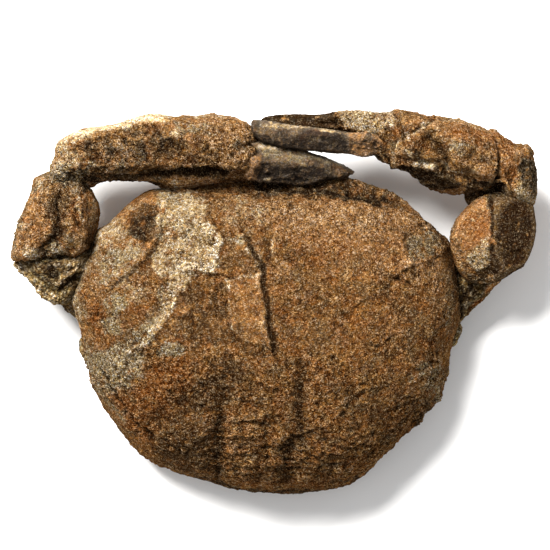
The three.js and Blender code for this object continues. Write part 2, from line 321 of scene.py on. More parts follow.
@dataclass(frozen=True)
class Facet:
    """A flat face: what lies beyond its plane is pushed back onto it, with a rounded edge."""

    at: Spot3
    facing: Spot3
    round: float = 0.8

    def flatten(self, points: np.ndarray) -> np.ndarray:
        """Points moved back by (d + √(d² + round²)) / 2, where d is how far they lie beyond the plane."""
        outward = np.array(self.facing) / np.linalg.norm(self.facing)
        beyond = (points - self.at) @ outward
        back = (beyond + np.sqrt(beyond ** 2 + self.round ** 2)) / 2
        return points - np.where(beyond > -4 * self.round, back, 0)[:, None] * outward


# ---------------------------------------------------------------- surfaces


@dataclass
class Surface:
    """A closed surface of triangles that face outwards."""

    points: np.ndarray
    triangles: np.ndarray

    def gathered(self, values: np.ndarray) -> np.ndarray:
        """For each vertex, the sum of the values given for the corners of all triangles, in order."""
        where = self.triangles.ravel()
        count = len(self.points)
        return np.stack([np.bincount(where, axis, count) for axis in values.T], axis=1)

    def outward(self) -> "Surface":
        """The same surface, with its triangles turned round if they enclose a negative volume.

        Returns:
            A surface whose triangles face outwards, whichever way its outline ran.
        """
        a, b, c = (self.points[self.triangles[:, k]] for k in range(3))
        if np.sum(a * np.cross(b, c)) >= 0:
            return self
        return Surface(self.points, self.triangles[:, ::-1])

    def normals(self) -> np.ndarray:
        """Unit normals: the sum of the cross products of the triangles round each vertex."""
        a, b, c = (self.points[self.triangles[:, k]] for k in range(3))
        total = self.gathered(np.repeat(np.cross(b - a, c - a), 3, axis=0))
        return total / np.maximum(np.linalg.norm(total, axis=1, keepdims=True), 1e-12)

    def relaxed(self, values: np.ndarray, rounds: int) -> np.ndarray:
        """Values averaged with those of the neighbouring vertices, as many times as rounds says."""
        ends = np.roll(self.triangles, -1, axis=1).ravel()
        count = self.gathered(np.ones((len(ends), 1)))
        for _ in range(rounds):
            values = self.gathered(values[ends]) / count
        return values

    def hollowness(self, rounds: int) -> np.ndarray:
        """How far, in millimetres, each vertex lies below the surface averaged round it."""
        return np.sum((self.relaxed(self.points, rounds) - self.points) * self.normals(), axis=1)


def grid_triangles(rows: int, columns: int) -> np.ndarray:
    """The triangles of a sheet of vertices numbered row by row, two to a cell."""
    corner = (np.arange(rows - 1)[:, None] * columns + np.arange(columns - 1)).ravel()
    first = np.stack([corner, corner + 1, corner + columns + 1], axis=1)
    second = np.stack([corner, corner + columns + 1, corner + columns], axis=1)
    return np.concatenate([first, second])


def border(side: int) -> np.ndarray:
    """The vertices round a square sheet of side × side, in order, from its first corner."""
    numbers = np.arange(side * side).reshape(side, side)
    return np.concatenate([numbers[0, :-1], numbers[:-1, -1], numbers[-1, :0:-1], numbers[:0:-1, 0]])


def disk_of_square(cells: int) -> tuple[np.ndarray, np.ndarray]:
    """A square sheet of vertices laid on a disk.

    Each square ring of the sheet becomes a round ring: the larger coordinate gives the ring, and the smaller
    over the larger, times an eighth of a turn, gives the place round it.

    Args:
        cells: how many cells lie along a side of the square.

    Returns:
        The ring of each vertex, from 0 to 1, and its share of the turn, from 0 to 1.
    """
    row = np.linspace(-1, 1, cells + 1)
    b, a = (axis.ravel() for axis in np.meshgrid(row, row, indexing="ij"))
    wide = np.abs(a) >= np.abs(b)
    large = np.where(wide, a, b)
    ratio = np.where(wide, b, a) / np.where(large == 0, 1, large)
    eighths = np.where(wide, ratio, 2 - ratio) + np.where(large < 0, 4, 0)
    return np.abs(large), (eighths / 8) % 1


@dataclass(frozen=True)
class Dome:
    """The bluntness of a lump's half, as the powers of reach^plan + rise^height = 1."""

    plan: float = 2.4
    height: float = 2.0

    def profile(self, ring: np.ndarray, radius: float, tall: float) -> tuple[np.ndarray, np.ndarray]:
        """Reach and rise for each ring, with the rings evenly apart along the dome's curve.

        Args:
            ring: 0 at the pole and 1 at the rim.
            radius: from the pole's axis to the rim.
            tall: from the rim to the pole.

        Returns:
            Reach, from 0 at the pole to 1 at the rim, and rise, from 1 to 0.
        """
        angle = np.linspace(0, np.pi / 2, 400)
        reach = np.sin(angle) ** (2 / self.plan)
        rise = np.maximum(np.cos(angle), 0) ** (2 / self.height)
        steps = np.hypot(np.diff(reach * radius), np.diff(rise * tall))
        length = np.concatenate([[0], np.cumsum(steps)])
        turned = np.interp(ring * length[-1], length, angle)
        return np.sin(turned) ** (2 / self.plan), np.maximum(np.cos(turned), 0) ** (2 / self.height)


@dataclass(frozen=True)
class Lump:
    """A piece that is domed over and under a closed outline, seen from above."""

    centre: tuple[float, float]
    rim: float
    crown: float
    base: float
    outline: Line
    facets: tuple[Facet, ...] = ()
    base_centre: tuple[float, float] | None = None
    lean: float = 0.0
    floor: float = -math.inf
    top: Dome = Dome()
    under: Dome = Dome()

    def edge(self, turn: np.ndarray) -> np.ndarray:
        """The rim's place at each share of its length, on a smooth curve through the outline's points.

        Between two points p and q the curve is the cubic that starts with half the way from the point
        before p to q, and ends with half the way from p to the point after q.
        """
        knots = np.array(self.outline, float)
        before, after, next_but_one = (np.roll(knots, -k, axis=0) for k in (-1, 1, 2))
        t = np.linspace(0, 1, 24, endpoint=False)[:, None, None]
        start, end = (after - before) / 2, (next_but_one - knots) / 2
        curve = (
            (2 * t ** 3 - 3 * t ** 2 + 1) * knots + (t ** 3 - 2 * t ** 2 + t) * start
            + (3 * t ** 2 - 2 * t ** 3) * after + (t ** 3 - t ** 2) * end
        )
        curve = curve.transpose(1, 0, 2).reshape(-1, 2)
        closed = np.concatenate([curve, curve[:1]])
        length = np.concatenate([[0], np.cumsum(np.linalg.norm(np.diff(closed, axis=0), axis=1))])
        return np.stack([np.interp(turn * length[-1], length, axis) for axis in closed.T], axis=1)

    def half(self, cells: int, over: bool, reach_out: float = 1.0) -> np.ndarray:
        """The vertices of the upper or lower half, on the rays from its centre to the rim.

        Args:
            cells: along a side of the half's square sheet.
            over: whether it is the upper half.
            reach_out: the ring that the sheet's border lies on.

        Returns:
            A point in each row.
        """
        ring, turn = disk_of_square(cells)
        edge = self.edge(turn)
        centre = np.array(self.centre if over else self.base_centre or self.centre)
        rim = self.rim + self.lean * (edge[:, 1] - self.centre[1])
        pole = self.crown if over else self.base
        radius = float(np.mean(np.linalg.norm(edge - centre, axis=1)))
        dome = self.top if over else self.under
        reach, rise = dome.profile(ring * reach_out, radius, abs(pole - self.rim))
        plan = centre + reach[:, None] * (edge - centre)
        return np.column_stack([plan, rim + rise * (pole - rim)])

    def surface(self) -> Surface:
        """The whole lump: a fine sheet over, one of half as many cells under, and a strip that joins them."""
        around = np.linalg.norm(np.diff(self.edge(np.linspace(0, 1, 400)), axis=0), axis=1).sum()
        cells = min(2 * round(around / SPACING / 6), MOST_CELLS)
        few = cells // 2
        over = self.half(cells, True)
        under = self.half(few, False, 1 - 1 / few)
        outer = border(cells + 1)
        inner = border(few + 1) + len(over)
        this, following = inner, np.roll(inner, -1)
        first, second, third = outer[::2], outer[1::2], np.roll(outer[::2], -1)
        strip = [
            np.stack(corners, axis=1)
            for corners in ((this, second, first), (this, following, second), (following, third, second))
        ]
        triangles = [
            grid_triangles(cells + 1, cells + 1),
            grid_triangles(few + 1, few + 1)[:, ::-1] + len(over),
            *strip,
        ]
        points = np.concatenate([over, under])
        for facet in self.facets:
            points = facet.flatten(points)
        return Surface(points, np.concatenate(triangles))


@dataclass(frozen=True)
class Limb:
    """A piece with oval sections along X: each is x, front edge, back edge, top and bottom."""

    sections: tuple[tuple[float, float, float, float, float], ...]
    end: float
    square: float
    facets: tuple[Facet, ...] = ()
    floor: float = -math.inf

    def across(self, x: np.ndarray) -> tuple[np.ndarray, ...]:
        """The four edges at each x, on cubics through the sections with half-difference slopes."""
        knots = np.array(self.sections, float)
        span = np.clip(np.searchsorted(knots[:, 0], x, side="right") - 1, 0, len(knots) - 2)
        t = ((x - knots[span, 0]) / (knots[span + 1, 0] - knots[span, 0]))[:, None]
        values = knots[:, 1:]
        before, here = values[np.maximum(span - 1, 0)], values[span]
        there, after = values[span + 1], values[np.minimum(span + 2, len(knots) - 1)]
        start, end = (there - before) / 2, (after - here) / 2
        made = (
            (2 * t ** 3 - 3 * t ** 2 + 1) * here + (t ** 3 - 2 * t ** 2 + t) * start
            + (3 * t ** 2 - 2 * t ** 3) * there + (t ** 3 - t ** 2) * end
        )
        return tuple(made.T)

    def surface(self) -> Surface:
        """Rings along X with a pole at each end, evenly apart along the limb's side.

        Round a ring the points are at (front or back) · cos^(2/square) and (top or bottom) · sin^(2/square).
        In a rounded end they draw in by the sine of an angle that goes from 0 at the pole to a quarter turn.
        """
        knots = np.array(self.sections, float)
        first, last = knots[0, 0], knots[-1, 0]
        half = float(np.mean(knots[:, 3] - knots[:, 4])) / 2
        body = last - first - 2 * self.end
        rings = round((body + 2 * half) / SPACING)
        around = round(2 * np.pi * half / SPACING)
        along = np.linspace(0, body + 2 * half, rings + 1)[1:-1]
        side = np.minimum(along, body + 2 * half - along)
        cap = np.minimum(side / half, 1) * np.pi / 2
        inward = self.end * (1 - np.cos(cap)) + np.maximum(side - half, 0)
        x = np.where(along < body / 2 + half, first + inward, last - inward)
        front, back, high, low = self.across(x)
        turn = np.linspace(0, 2 * np.pi, around, endpoint=False)
        cos, sin = (np.sign(w) * np.abs(w) ** (2 / self.square) for w in (np.cos(turn), np.sin(turn)))
        drawn = np.sin(cap)[:, None]
        y = ((front + back) / 2)[:, None] + drawn * cos * ((front - back) / 2)[:, None]
        z = ((high + low) / 2)[:, None] + drawn * sin * ((high - low) / 2)[:, None]
        sheet = np.stack([np.broadcast_to(x[:, None], y.shape), y, z], axis=2).reshape(-1, 3)
        ends = np.array([
            [place, (row[1] + row[2]) / 2, (row[3] + row[4]) / 2]
            for place, row in ((first, knots[0]), (last, knots[-1]))
        ])
        points = np.concatenate([sheet, ends])
        for facet in self.facets:
            points = facet.flatten(points)
        return Surface(points, self.skin_of(len(x), around))

    @staticmethod
    def skin_of(rings: int, around: int) -> np.ndarray:
        """The triangles between neighbouring rings, and from the first and last ring to their poles."""
        start = np.arange(around)
        following = (start + 1) % around
        level = (np.arange(rings - 1) * around)[:, None]
        a, b = (level + start).ravel(), (level + following).ravel()
        c, d = a + around, b + around
        first_pole, last_pole = rings * around, rings * around + 1
        last = (rings - 1) * around
        return np.concatenate([
            np.stack([a, b, d], axis=1),
            np.stack([a, d, c], axis=1),
            np.stack([following, start, np.full(around, first_pole)], axis=1),
            np.stack([last + start, last + following, np.full(around, last_pole)], axis=1),
        ])


@dataclass(frozen=True)
class Skin:
    """How rough a piece is, as heights in millimetres.

    The height of a point is the sum of swells (wide noise), crust (finer noise and ridges), flakes (noise
    in flat steps) and crumbs (a round grain at each scattered seed, as tall as the seed's number), less the
    pits round other seeds. On rugged ground they all grow, and on calm ground they shrink. Ridged ground
    also carries ridges along X (folded noise, stretched that way).
    """

    swells: float = 0.4
    crust: float = 0.17
    flakes: float = 0.22
    crumbs: float = 0.3
    pits: float = 0.3
    pit_size: float = 2.6
    ridges: float = 0.0
    ridged: tuple[Mark, ...] = ()
    rugged: tuple[Mark, ...] = ()
    calm: tuple[Mark, ...] = ()
    seed: int = 1

    @staticmethod
    def covered(points: np.ndarray, marks: tuple[Mark, ...]) -> np.ndarray:
        """How far marks cover each point, from 0 to 1."""
        return np.clip(sum((mark.share(points[:, :2]) for mark in marks), np.zeros(len(points))), 0, 1)

    def patchiness(self, points: np.ndarray) -> np.ndarray:
        """How much rougher than usual each point is, from 0.5 to 1.5, in patches made by wide noise."""
        return 0.5 + smooth(0.5 + 0.9 * Noise(self.seed + 20).fractal(points, 11.0, 3))

    def roughness(self, points: np.ndarray) -> np.ndarray:
        """1 on rugged ground, 0 on calm ground and round a half elsewhere, in patches."""
        rough = 0.5 * (self.covered(points, self.rugged) - self.covered(points, self.calm))
        return np.clip(rough + 0.1 + 0.4 * self.patchiness(points), 0, 1.2)

    def height(self, points: np.ndarray) -> np.ndarray:
        """The skin's height at each point."""
        noise = Noise(self.seed)
        rugged, calm = self.covered(points, self.rugged), self.covered(points, self.calm)
        strength = (1 + RUGGED_GAIN * rugged) * (1 - CALM_LOSS * calm)
        strength = strength * self.patchiness(points)
        levels = 3.0 * noise.fractal(points, 7.0, 3)
        step = np.floor(levels) + smooth((levels - np.floor(levels)) * 4)
        gap, number = noise.cells(points, self.pit_size)
        pit = smooth(1 - gap / 0.42) * (number > 0.45)
        gap, number = noise.cells(points + 50, 1.25)
        crumb = smooth(1.15 - gap / 0.75) * number
        crust = noise.fractal(points, 3.0, 4, 0.72) + 0.5 * noise.ridged(points, 5.0, 3)
        rough = self.crust * crust + self.flakes * step / 3 + self.crumbs * crumb - self.pits * pit
        stretched = noise.ridged(points * (0.3, 1, 1), 2.6, 2) - 0.7
        along = self.ridges * self.covered(points, self.ridged) * stretched
        return self.swells * noise.fractal(points, 16.0, 2) + strength * rough + along


# ---------------------------------------------------------------- shader groups


class Bench:
    """Places nodes in one tree and links them."""

    def __init__(self, tree: bpy.types.NodeTree) -> None:
        """Works on the given tree."""
        self.tree = tree

    def add(self, kind: str, sockets: dict, **settings: object) -> bpy.types.Node:
        """A new node.

        Args:
            kind: the node's type.
            sockets: what goes into its inputs, by name or number: a socket to link, or a value.
            settings: the node's own properties.

        Returns:
            The node.
        """
        node = self.tree.nodes.new(kind)
        for name, value in settings.items():
            setattr(node, name, value)
        for name, value in sockets.items():
            if isinstance(value, bpy.types.NodeSocket):
                self.tree.links.new(value, node.inputs[name])
            else:
                node.inputs[name].default_value = value
        return node

    def sum(
        self, operation: str, first: object, second: object = 0.0, third: object = 0.0
    ) -> bpy.types.NodeSocket:
        """The outcome of one arithmetic step."""
        return self.add("ShaderNodeMath", {0: first, 1: second, 2: third}, operation=operation).outputs[0]

    def ramp(self, value: object, start: float, end: float) -> bpy.types.NodeSocket:
        """0 at the start, 1 at the end, and an S between them."""
        sockets = {"Value": value, 1: start, 2: end, 3: 0.0, 4: 1.0}
        return self.add("ShaderNodeMapRange", sockets, interpolation_type="SMOOTHSTEP").outputs[0]

    def mix(self, share: object, first: object, second: object, blend: str = "MIX") -> bpy.types.NodeSocket:
        """Two colours mixed: none of the second at 0, and all of it at 1."""
        node = self.add("ShaderNodeMix", {}, data_type="RGBA", blend_type=blend, clamp_result=True)
        for number, value in ((0, share), (6, first), (7, second)):
            if isinstance(value, bpy.types.NodeSocket):
                self.tree.links.new(value, node.inputs[number])
            else:
                node.inputs[number].default_value = value
        return node.outputs[2]

    def attribute(self, name: str) -> bpy.types.NodeSocket:
        """A value kept for each vertex."""
        return self.add("ShaderNodeAttribute", {}, attribute_name=name).outputs["Fac"]

    def noise(self, place: object, scale: object, detail: float, rough: float) -> bpy.types.NodeSocket:
        """Cloudy noise from 0 to 1."""
        sockets = {"Vector": place, "Scale": scale, "Detail": detail, "Roughness": rough}
        return self.add("ShaderNodeTexNoise", sockets).outputs["Fac"]


FLOAT, COLOUR, VECTOR = "NodeSocketFloat", "NodeSocketColor", "NodeSocketVector"


class Effect:
    """A shader node group, built once, that materials place with their own values."""

    name = ""
    inputs: dict[str, str] = {}
    outputs: dict[str, str] = {}

    @classmethod
    def tree(cls) -> bpy.types.NodeTree:
        """The group's tree, made when it is first asked for."""
        found = bpy.data.node_groups.get(cls.name)
        if found:
            return found
        tree = bpy.data.node_groups.new(cls.name, "ShaderNodeTree")
        for way, sockets in (("INPUT", cls.inputs), ("OUTPUT", cls.outputs)):
            for name, kind in sockets.items():
                tree.interface.new_socket(name=name, in_out=way, socket_type=kind)
        bench = Bench(tree)
        given = bench.add("NodeGroupInput", {}).outputs
        bench.add("NodeGroupOutput", cls.wire(bench, given))
        return tree

    @classmethod
    def wire(cls, bench: Bench, given: object) -> dict:
        """Places the group's nodes and returns what goes to each output."""
        raise NotImplementedError

    @classmethod
    def place(cls, bench: Bench, sockets: dict) -> object:
        """Puts the group in a material, and returns its outputs."""
        node = bench.add("ShaderNodeGroup", {}, node_tree=cls.tree())
        for name, value in sockets.items():
            if isinstance(value, bpy.types.NodeSocket):
                bench.tree.links.new(value, node.inputs[name])
            else:
                node.inputs[name].default_value = value
        return node.outputs


class Mottle(Effect):
    """Clouds of a second colour over the first. Size is a cloud's width in millimetres."""

    name = "stone_mottle"
    inputs = {"Vector": VECTOR, "First": COLOUR, "Second": COLOUR, "Size": FLOAT, "Amount": FLOAT}
    outputs = {"Color": COLOUR}

    @classmethod
    def wire(cls, bench: Bench, given: object) -> dict:
        """Noise of detail 5, with its upper half stretched to full contrast, picks the colour."""
        cloud = bench.noise(given["Vector"], bench.sum("DIVIDE", 1 / MM, given["Size"]), 5.0, 0.6)
        share = bench.sum("MULTIPLY", bench.ramp(cloud, 0.43, 0.6), given["Amount"])
        return {"Color": bench.mix(share, given["First"], given["Second"])}


class StainingAndPaintedLight(Effect):
    """A tint laid where the stone is stained and where light and shade are painted, in blotches that thin out
    towards the edge.
    """

    name = "stone_stain_and_painted_light"
    inputs = {"Vector": VECTOR, "Color": COLOUR, "Tint": COLOUR, "Share": FLOAT, "Size": FLOAT}
    outputs = {"Color": COLOUR}

    @classmethod
    def wire(cls, bench: Bench, given: object) -> dict:
        """The share is raised or lowered by stretched noise, and its middle stretched."""
        cloud = bench.noise(given["Vector"], bench.sum("DIVIDE", 1 / MM, given["Size"]), 4.0, 0.7)
        lively = bench.sum("MULTIPLY", given["Share"], bench.sum("ADD", bench.ramp(cloud, 0.3, 0.7), 0.35))
        share = bench.sum("MULTIPLY", bench.ramp(lively, 0.08, 0.95), 0.9)
        return {"Color": bench.mix(share, given["Color"], given["Tint"])}


class Grain(Effect):
    """Grains the size of sand: warm and cool, pale and dark, with dark gaps, and their height."""

    name = "stone_grain"
    inputs = {
        "Vector": VECTOR, "Color": COLOUR, "Light": COLOUR, "Dark": COLOUR, "Size": FLOAT, "Strength": FLOAT,
    }
    outputs = {"Color": COLOUR, "Height": FLOAT, "Roughness": FLOAT}

    @classmethod
    def wire(cls, bench: Bench, given: object) -> dict:
        """Each cell of a cell pattern is a grain, whose tone is a random number blended with noise.

        The stone's colour first turns warm or cool, by noise that keeps its strength down to a grain's size.
        """
        scale = bench.sum("DIVIDE", 1 / MM, given["Size"])
        fleck = bench.noise(given["Vector"], scale, 2.0, 0.6)
        coarse = bench.noise(given["Vector"], bench.sum("MULTIPLY", scale, 0.34), 3.0, 0.65)
        cell = bench.add("ShaderNodeTexVoronoi", {"Vector": given["Vector"], "Scale": scale}).outputs
        number = bench.add("ShaderNodeSeparateColor", {"Color": cell["Color"]}).outputs["Red"]
        hue = bench.noise(given["Vector"], bench.sum("MULTIPLY", scale, 0.4), 3.0, 0.8)
        warm = bench.mix(1.0, given["Color"], (1.12, 0.98, 0.6, 1), "MULTIPLY")
        cool = bench.mix(1.0, given["Color"], (0.91, 0.99, 1.16, 1), "MULTIPLY")
        stone = bench.mix(bench.ramp(hue, 0.36, 0.64), cool, warm)
        tone = bench.sum("MULTIPLY", number, 0.3)
        for part, weight in ((fleck, 0.45), (coarse, 0.25)):
            tone = bench.sum("ADD", tone, bench.sum("MULTIPLY", part, weight))
        gap = bench.sum("MULTIPLY", bench.ramp(cell["Distance"], 0.4, 0.75), bench.ramp(coarse, 0.58, 0.42))
        light = bench.sum("MULTIPLY", bench.ramp(tone, 0.56, 0.66), given["Strength"])
        shade = bench.sum("MAXIMUM", bench.ramp(tone, 0.45, 0.35), gap)
        dark = bench.sum("MULTIPLY", shade, given["Strength"])
        bright = bench.mix(1.0, stone, (2.15, 2.75, 4.0, 1), "MULTIPLY")
        lit = bench.mix(light, stone, bench.mix(0.18, bright, given["Light"]))
        dim = bench.mix(1.0, stone, (0.2, 0.13, 0.05, 1), "MULTIPLY")
        height = bench.sum("MULTIPLY_ADD", coarse, 1.3, -0.7)
        for part, weight in ((tone, 0.6), (cell["Distance"], -0.4)):
            height = bench.sum("ADD", height, bench.sum("MULTIPLY", part, weight))
        return {
            "Color": bench.mix(dark, lit, bench.mix(0.25, dim, given["Dark"])),
            "Height": height,
            "Roughness": bench.ramp(tone, 0.9, 0.1),
        }


class WeatherAndShade(Effect):
    """Dark dirt and painted shade in the hollows, and pale worn stone on the crests."""

    name = "stone_weather_and_shade"
    inputs = {"Color": COLOUR, "Hollow": FLOAT, "DirtAndShade": COLOUR, "Worn": COLOUR}
    outputs = {"Color": COLOUR}

    @classmethod
    def wire(cls, bench: Bench, given: object) -> dict:
        """The hollowness, in millimetres, picks how much of each colour is laid on. The dark in the hollows
        is dirt and painted shade together.
        """
        worn = bench.sum("MULTIPLY", bench.ramp(given["Hollow"], -0.04, -0.35), 0.55)
        lighter = bench.mix(1.0, given["Color"], (1.55, 1.6, 1.75, 1), "MULTIPLY")
        pale = bench.mix(worn, given["Color"], bench.mix(0.25, lighter, given["Worn"]))
        # painted shade: the deeper the hollow, the darker, standing in for the shade that falls there as well
        # as dirt
        dirt_and_shade_share = bench.sum("MULTIPLY", bench.ramp(given["Hollow"], 0.03, 0.36), 0.7)
        return {"Color": bench.mix(dirt_and_shade_share, pale, given["DirtAndShade"])}


Cloud = tuple[Colour, float, float]


@dataclass(frozen=True)
class Finish:
    """A kind of weathered stone: its colour, the clouds of others over it, and its grain and roughness.

    Each cloud is a colour, a width in millimetres and the most that it covers.
    """

    name: str
    first: Colour
    clouds: tuple[Cloud, ...]
    light: Colour = colour(240, 212, 168)
    dark: Colour = colour(46, 27, 11)
    worn: Colour = colour(204, 168, 122)
    # the colour of dirt, and of the painted shade, in the hollows
    dirt_and_shade: Colour = colour(40, 24, 10)
    grain: float = 0.38
    strength: float = 0.95
    bump: float = 1.35
    sheen: float = 0.0
    tints: dict[Tint, Colour] = field(
        default_factory=lambda: {
            Tint.TAN: colour(174, 130, 88),
            Tint.IRON: colour(126, 74, 33),
            Tint.GREY: colour(147, 130, 102),
            Tint.DARK: colour(72, 50, 30),
            Tint.CHAR: colour(34, 25, 18),
            Tint.PALE: colour(190, 165, 129),
            Tint.CREAM: colour(232, 206, 168),
        }
    )

    def material(self) -> bpy.types.Material:
        """The Blender material, made when it is first asked for."""
        found = bpy.data.materials.get(self.name)
        if found:
            return found
        material = bpy.data.materials.new(self.name)
        material.use_nodes = True
        material.node_tree.nodes.clear()
        bench = Bench(material.node_tree)
        place = bench.add("ShaderNodeTexCoord", {}).outputs["Object"]
        paint = self.paint(bench, place)
        vigour = bench.sum("MULTIPLY_ADD", bench.attribute("rough"), 0.8, 0.5)
        grain = Grain.place(
            bench,
            {
                "Vector": place, "Color": paint, "Light": self.light, "Dark": self.dark,
                "Size": self.grain,
                "Strength": bench.sum("MULTIPLY_ADD", vigour, self.strength / 2, self.strength / 2),
            },
        )
        bump = bench.add(
            "ShaderNodeBump",
            {
                "Strength": 1.0, "Distance": self.bump * MM,
                "Height": bench.sum("MULTIPLY", grain["Height"], vigour),
            },
        )
        shader = bench.add(
            "ShaderNodeBsdfPrincipled",
            {
                "Base Color": grain["Color"],
                "Roughness": bench.sum("MULTIPLY_ADD", grain["Roughness"], 0.3, 0.6),
                "Specular IOR Level": self.sheen,
                "Normal": bump.outputs["Normal"],
            },
        )
        bench.add("ShaderNodeOutputMaterial", {"Surface": shader.outputs["BSDF"]})
        return material

    def paint(self, bench: Bench, place: bpy.types.NodeSocket) -> bpy.types.NodeSocket:
        """The stone's colour before its grain: clouds, then stains with painted light and shade, then dirt
        and painted shade in the hollows, and wear.
        """
        paint: object = self.first
        for shade, size, amount in self.clouds:
            sockets = {"Vector": place, "First": paint, "Second": shade, "Size": size, "Amount": amount}
            paint = Mottle.place(bench, sockets)["Color"]
        for tint, shade in self.tints.items():
            share = bench.attribute(tint.value)
            sockets = {"Vector": place, "Color": paint, "Tint": shade, "Share": share, "Size": 1.6}
            paint = StainingAndPaintedLight.place(bench, sockets)["Color"]
        hollow = bench.attribute("hollow")
        return WeatherAndShade.place(
            bench, {"Color": paint, "Hollow": hollow, "DirtAndShade": self.dirt_and_shade, "Worn": self.worn}
        )["Color"]


CARAPACE_SHELL = Finish(
    "carapace_shell_stone", colour(138, 98, 58),
    (
        (colour(88, 60, 37), 10, 0.7), (colour(126, 106, 78), 6, 0.45), (colour(172, 122, 68), 5, 0.5),
        (colour(146, 82, 34), 4, 0.4), (colour(64, 44, 27), 2.4, 0.5),
    ),
)
ARM_SHELL = Finish(
    "arm_shell_stone", colour(154, 106, 60),
    (
        (colour(94, 66, 42), 6, 0.8), (colour(128, 112, 84), 5, 0.45), (colour(192, 144, 90), 3.5, 0.65),
        (colour(158, 90, 42), 4.5, 0.5), (colour(72, 51, 33), 2.2, 0.45),
    ),
)
CLAW_SHELL = Finish(
    "claw_shell_stone", colour(146, 105, 63),
    (
        (colour(88, 62, 40), 6, 0.8), (colour(124, 109, 84), 5, 0.5), (colour(186, 141, 90), 3.5, 0.6),
        (colour(154, 90, 42), 5, 0.45), (colour(68, 50, 33), 2.2, 0.45),
    ),
)
FINGER_SHELL = Finish(
    "finger_shell_stone", colour(98, 80, 61),
    (
        (colour(62, 50, 39), 5, 0.9), (colour(120, 86, 56), 3.5, 0.5), (colour(128, 114, 94), 4, 0.4),
        (colour(44, 35, 27), 2, 0.5),
    ),
    light=colour(176, 150, 116), dark=colour(20, 15, 11), worn=colour(150, 118, 84), dirt_and_shade=colour(18, 14, 10),
    strength=0.5, bump=0.7, sheen=0.12,
)
CRUSTY_MATRIX = Finish(
    "crusty_matrix_stone", colour(112, 88, 56),
    (
        (colour(60, 47, 31), 4, 0.9), (colour(142, 116, 78), 3, 0.7), (colour(108, 100, 74), 5, 0.5),
        (colour(48, 37, 25), 2, 0.5),
    ),
    light=colour(220, 190, 142), dark=colour(28, 21, 13), grain=0.75, bump=1.3,
)


# ---------------------------------------------------------------- pieces


@dataclass(frozen=True)
class Piece:
    """One hard piece of the crab, which stands for the CAD node of its name."""

    node: str
    slot: str
    finish: Finish
    form: Lump | Limb
    skin: Skin = Skin()
    relief: tuple[Relief, ...] = ()
    beneath: tuple[Relief, ...] = ()
    bosses: tuple[Boss, ...] = ()
    stains_and_painted_light: tuple[StainAndPaintedLight, ...] = ()

    def shaped(self) -> tuple[Surface, np.ndarray]:
        """The finished surface, and where each vertex lies in the plan once the edges of its stains and
        painted light and shade have wandered.

        Relief acts on what faces up, and what lies beneath on what faces down, each times a smooth share of
        the normal's height. Bosses and skin act all over. Everything moves a vertex along its normal.
        """
        surface = self.form.surface().outward()
        points = surface.points
        noise = Noise(self.skin.seed + 50)
        near = np.stack([noise.fractal(points + 90 * k, 4.0, 4, 0.75) for k in range(2)], axis=1)
        far = np.stack([noise.fractal(points - 90 * k, 8.0, 4, 0.7) for k in range(2)], axis=1)
        plan = points[:, :2] + RAGGED * near
        uneven = np.clip(1 + 0.5 * noise.fractal(points, 6.0, 2), 0.4, 1.6)
        normals = surface.normals()
        up, down = smooth(normals[:, 2] / RELIEF_SLOPE), smooth(-normals[:, 2] / RELIEF_SLOPE)
        height = self.skin.height(points)
        for share, marks in ((up, self.relief), (down, self.beneath)):
            for relief in marks:
                height = height + relief.height * share * uneven * relief.mark.share(plan)
        for boss in self.bosses:
            height = height + boss.rise(points)
        moved = points + height[:, None] * normals
        moved[:, 2] = np.maximum(moved[:, 2], self.form.floor)
        return Surface(moved, surface.triangles), points[:, :2] + BLOTCHED * far

    def build(self) -> bpy.types.Object:
        """The Blender object, riding on the crab's body."""
        surface, plan = self.shaped()
        name = f"{self.node}_fossil"
        mesh = bpy.data.meshes.new(name)
        count = len(surface.triangles)
        mesh.vertices.add(len(surface.points))
        mesh.vertices.foreach_set("co", (surface.points * MM).astype(np.float32).ravel())
        mesh.loops.add(3 * count)
        mesh.loops.foreach_set("vertex_index", surface.triangles.astype(np.int32).ravel())
        mesh.polygons.add(count)
        mesh.polygons.foreach_set("loop_start", np.arange(0, 3 * count, 3, dtype=np.int32))
        mesh.polygons.foreach_set("use_smooth", np.ones(count, bool))
        mesh.update(calc_edges=True)
        self.stain(mesh, surface, plan)
        mesh.materials.append(self.finish.material())
        made = bpy.data.objects.new(name, mesh)
        bpy.context.scene.collection.objects.link(made)
        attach(made, BODY)
        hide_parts(self.node)
        log.info("%s: %d triangles", name, count)
        return made

    def stain(self, mesh: bpy.types.Mesh, surface: Surface, plan: np.ndarray) -> None:
        """Writes the tints, the hollowness and the roughness of each vertex as attributes.

        A tint's share is the sum of its stains and painted light and shade on what faces up, made uneven by
        noise. Above 1 it closes the gaps between the mark's blotches.

        Args:
            mesh: the piece's mesh.
            surface: its finished surface.
            plan: where each vertex lies among the marks.
        """
        uneven = 1 + 0.9 * Noise(self.skin.seed + 80).fractal(surface.points, 3.5, 3)
        up = smooth(surface.relaxed(surface.normals(), EVEN_ROUNDS)[:, 2] / STAIN_SLOPE + STAIN_REACH)
        values = {tint.value: np.zeros(len(plan)) for tint in Tint}
        for stain in self.stains_and_painted_light:
            values[stain.tint.value] += stain.amount * stain.mark.share(plan) * up
        values = {name: np.clip(share * uneven, 0, MOST_STAIN) for name, share in values.items()}
        values["hollow"] = surface.hollowness(HOLLOW_ROUNDS)
        values["rough"] = self.skin.roughness(surface.points)
        for name, share in values.items():
            mesh.attributes.new(name, "FLOAT", "POINT").data.foreach_set("value", share.astype(np.float32))


# ---------------------------------------------------------------- the carapace

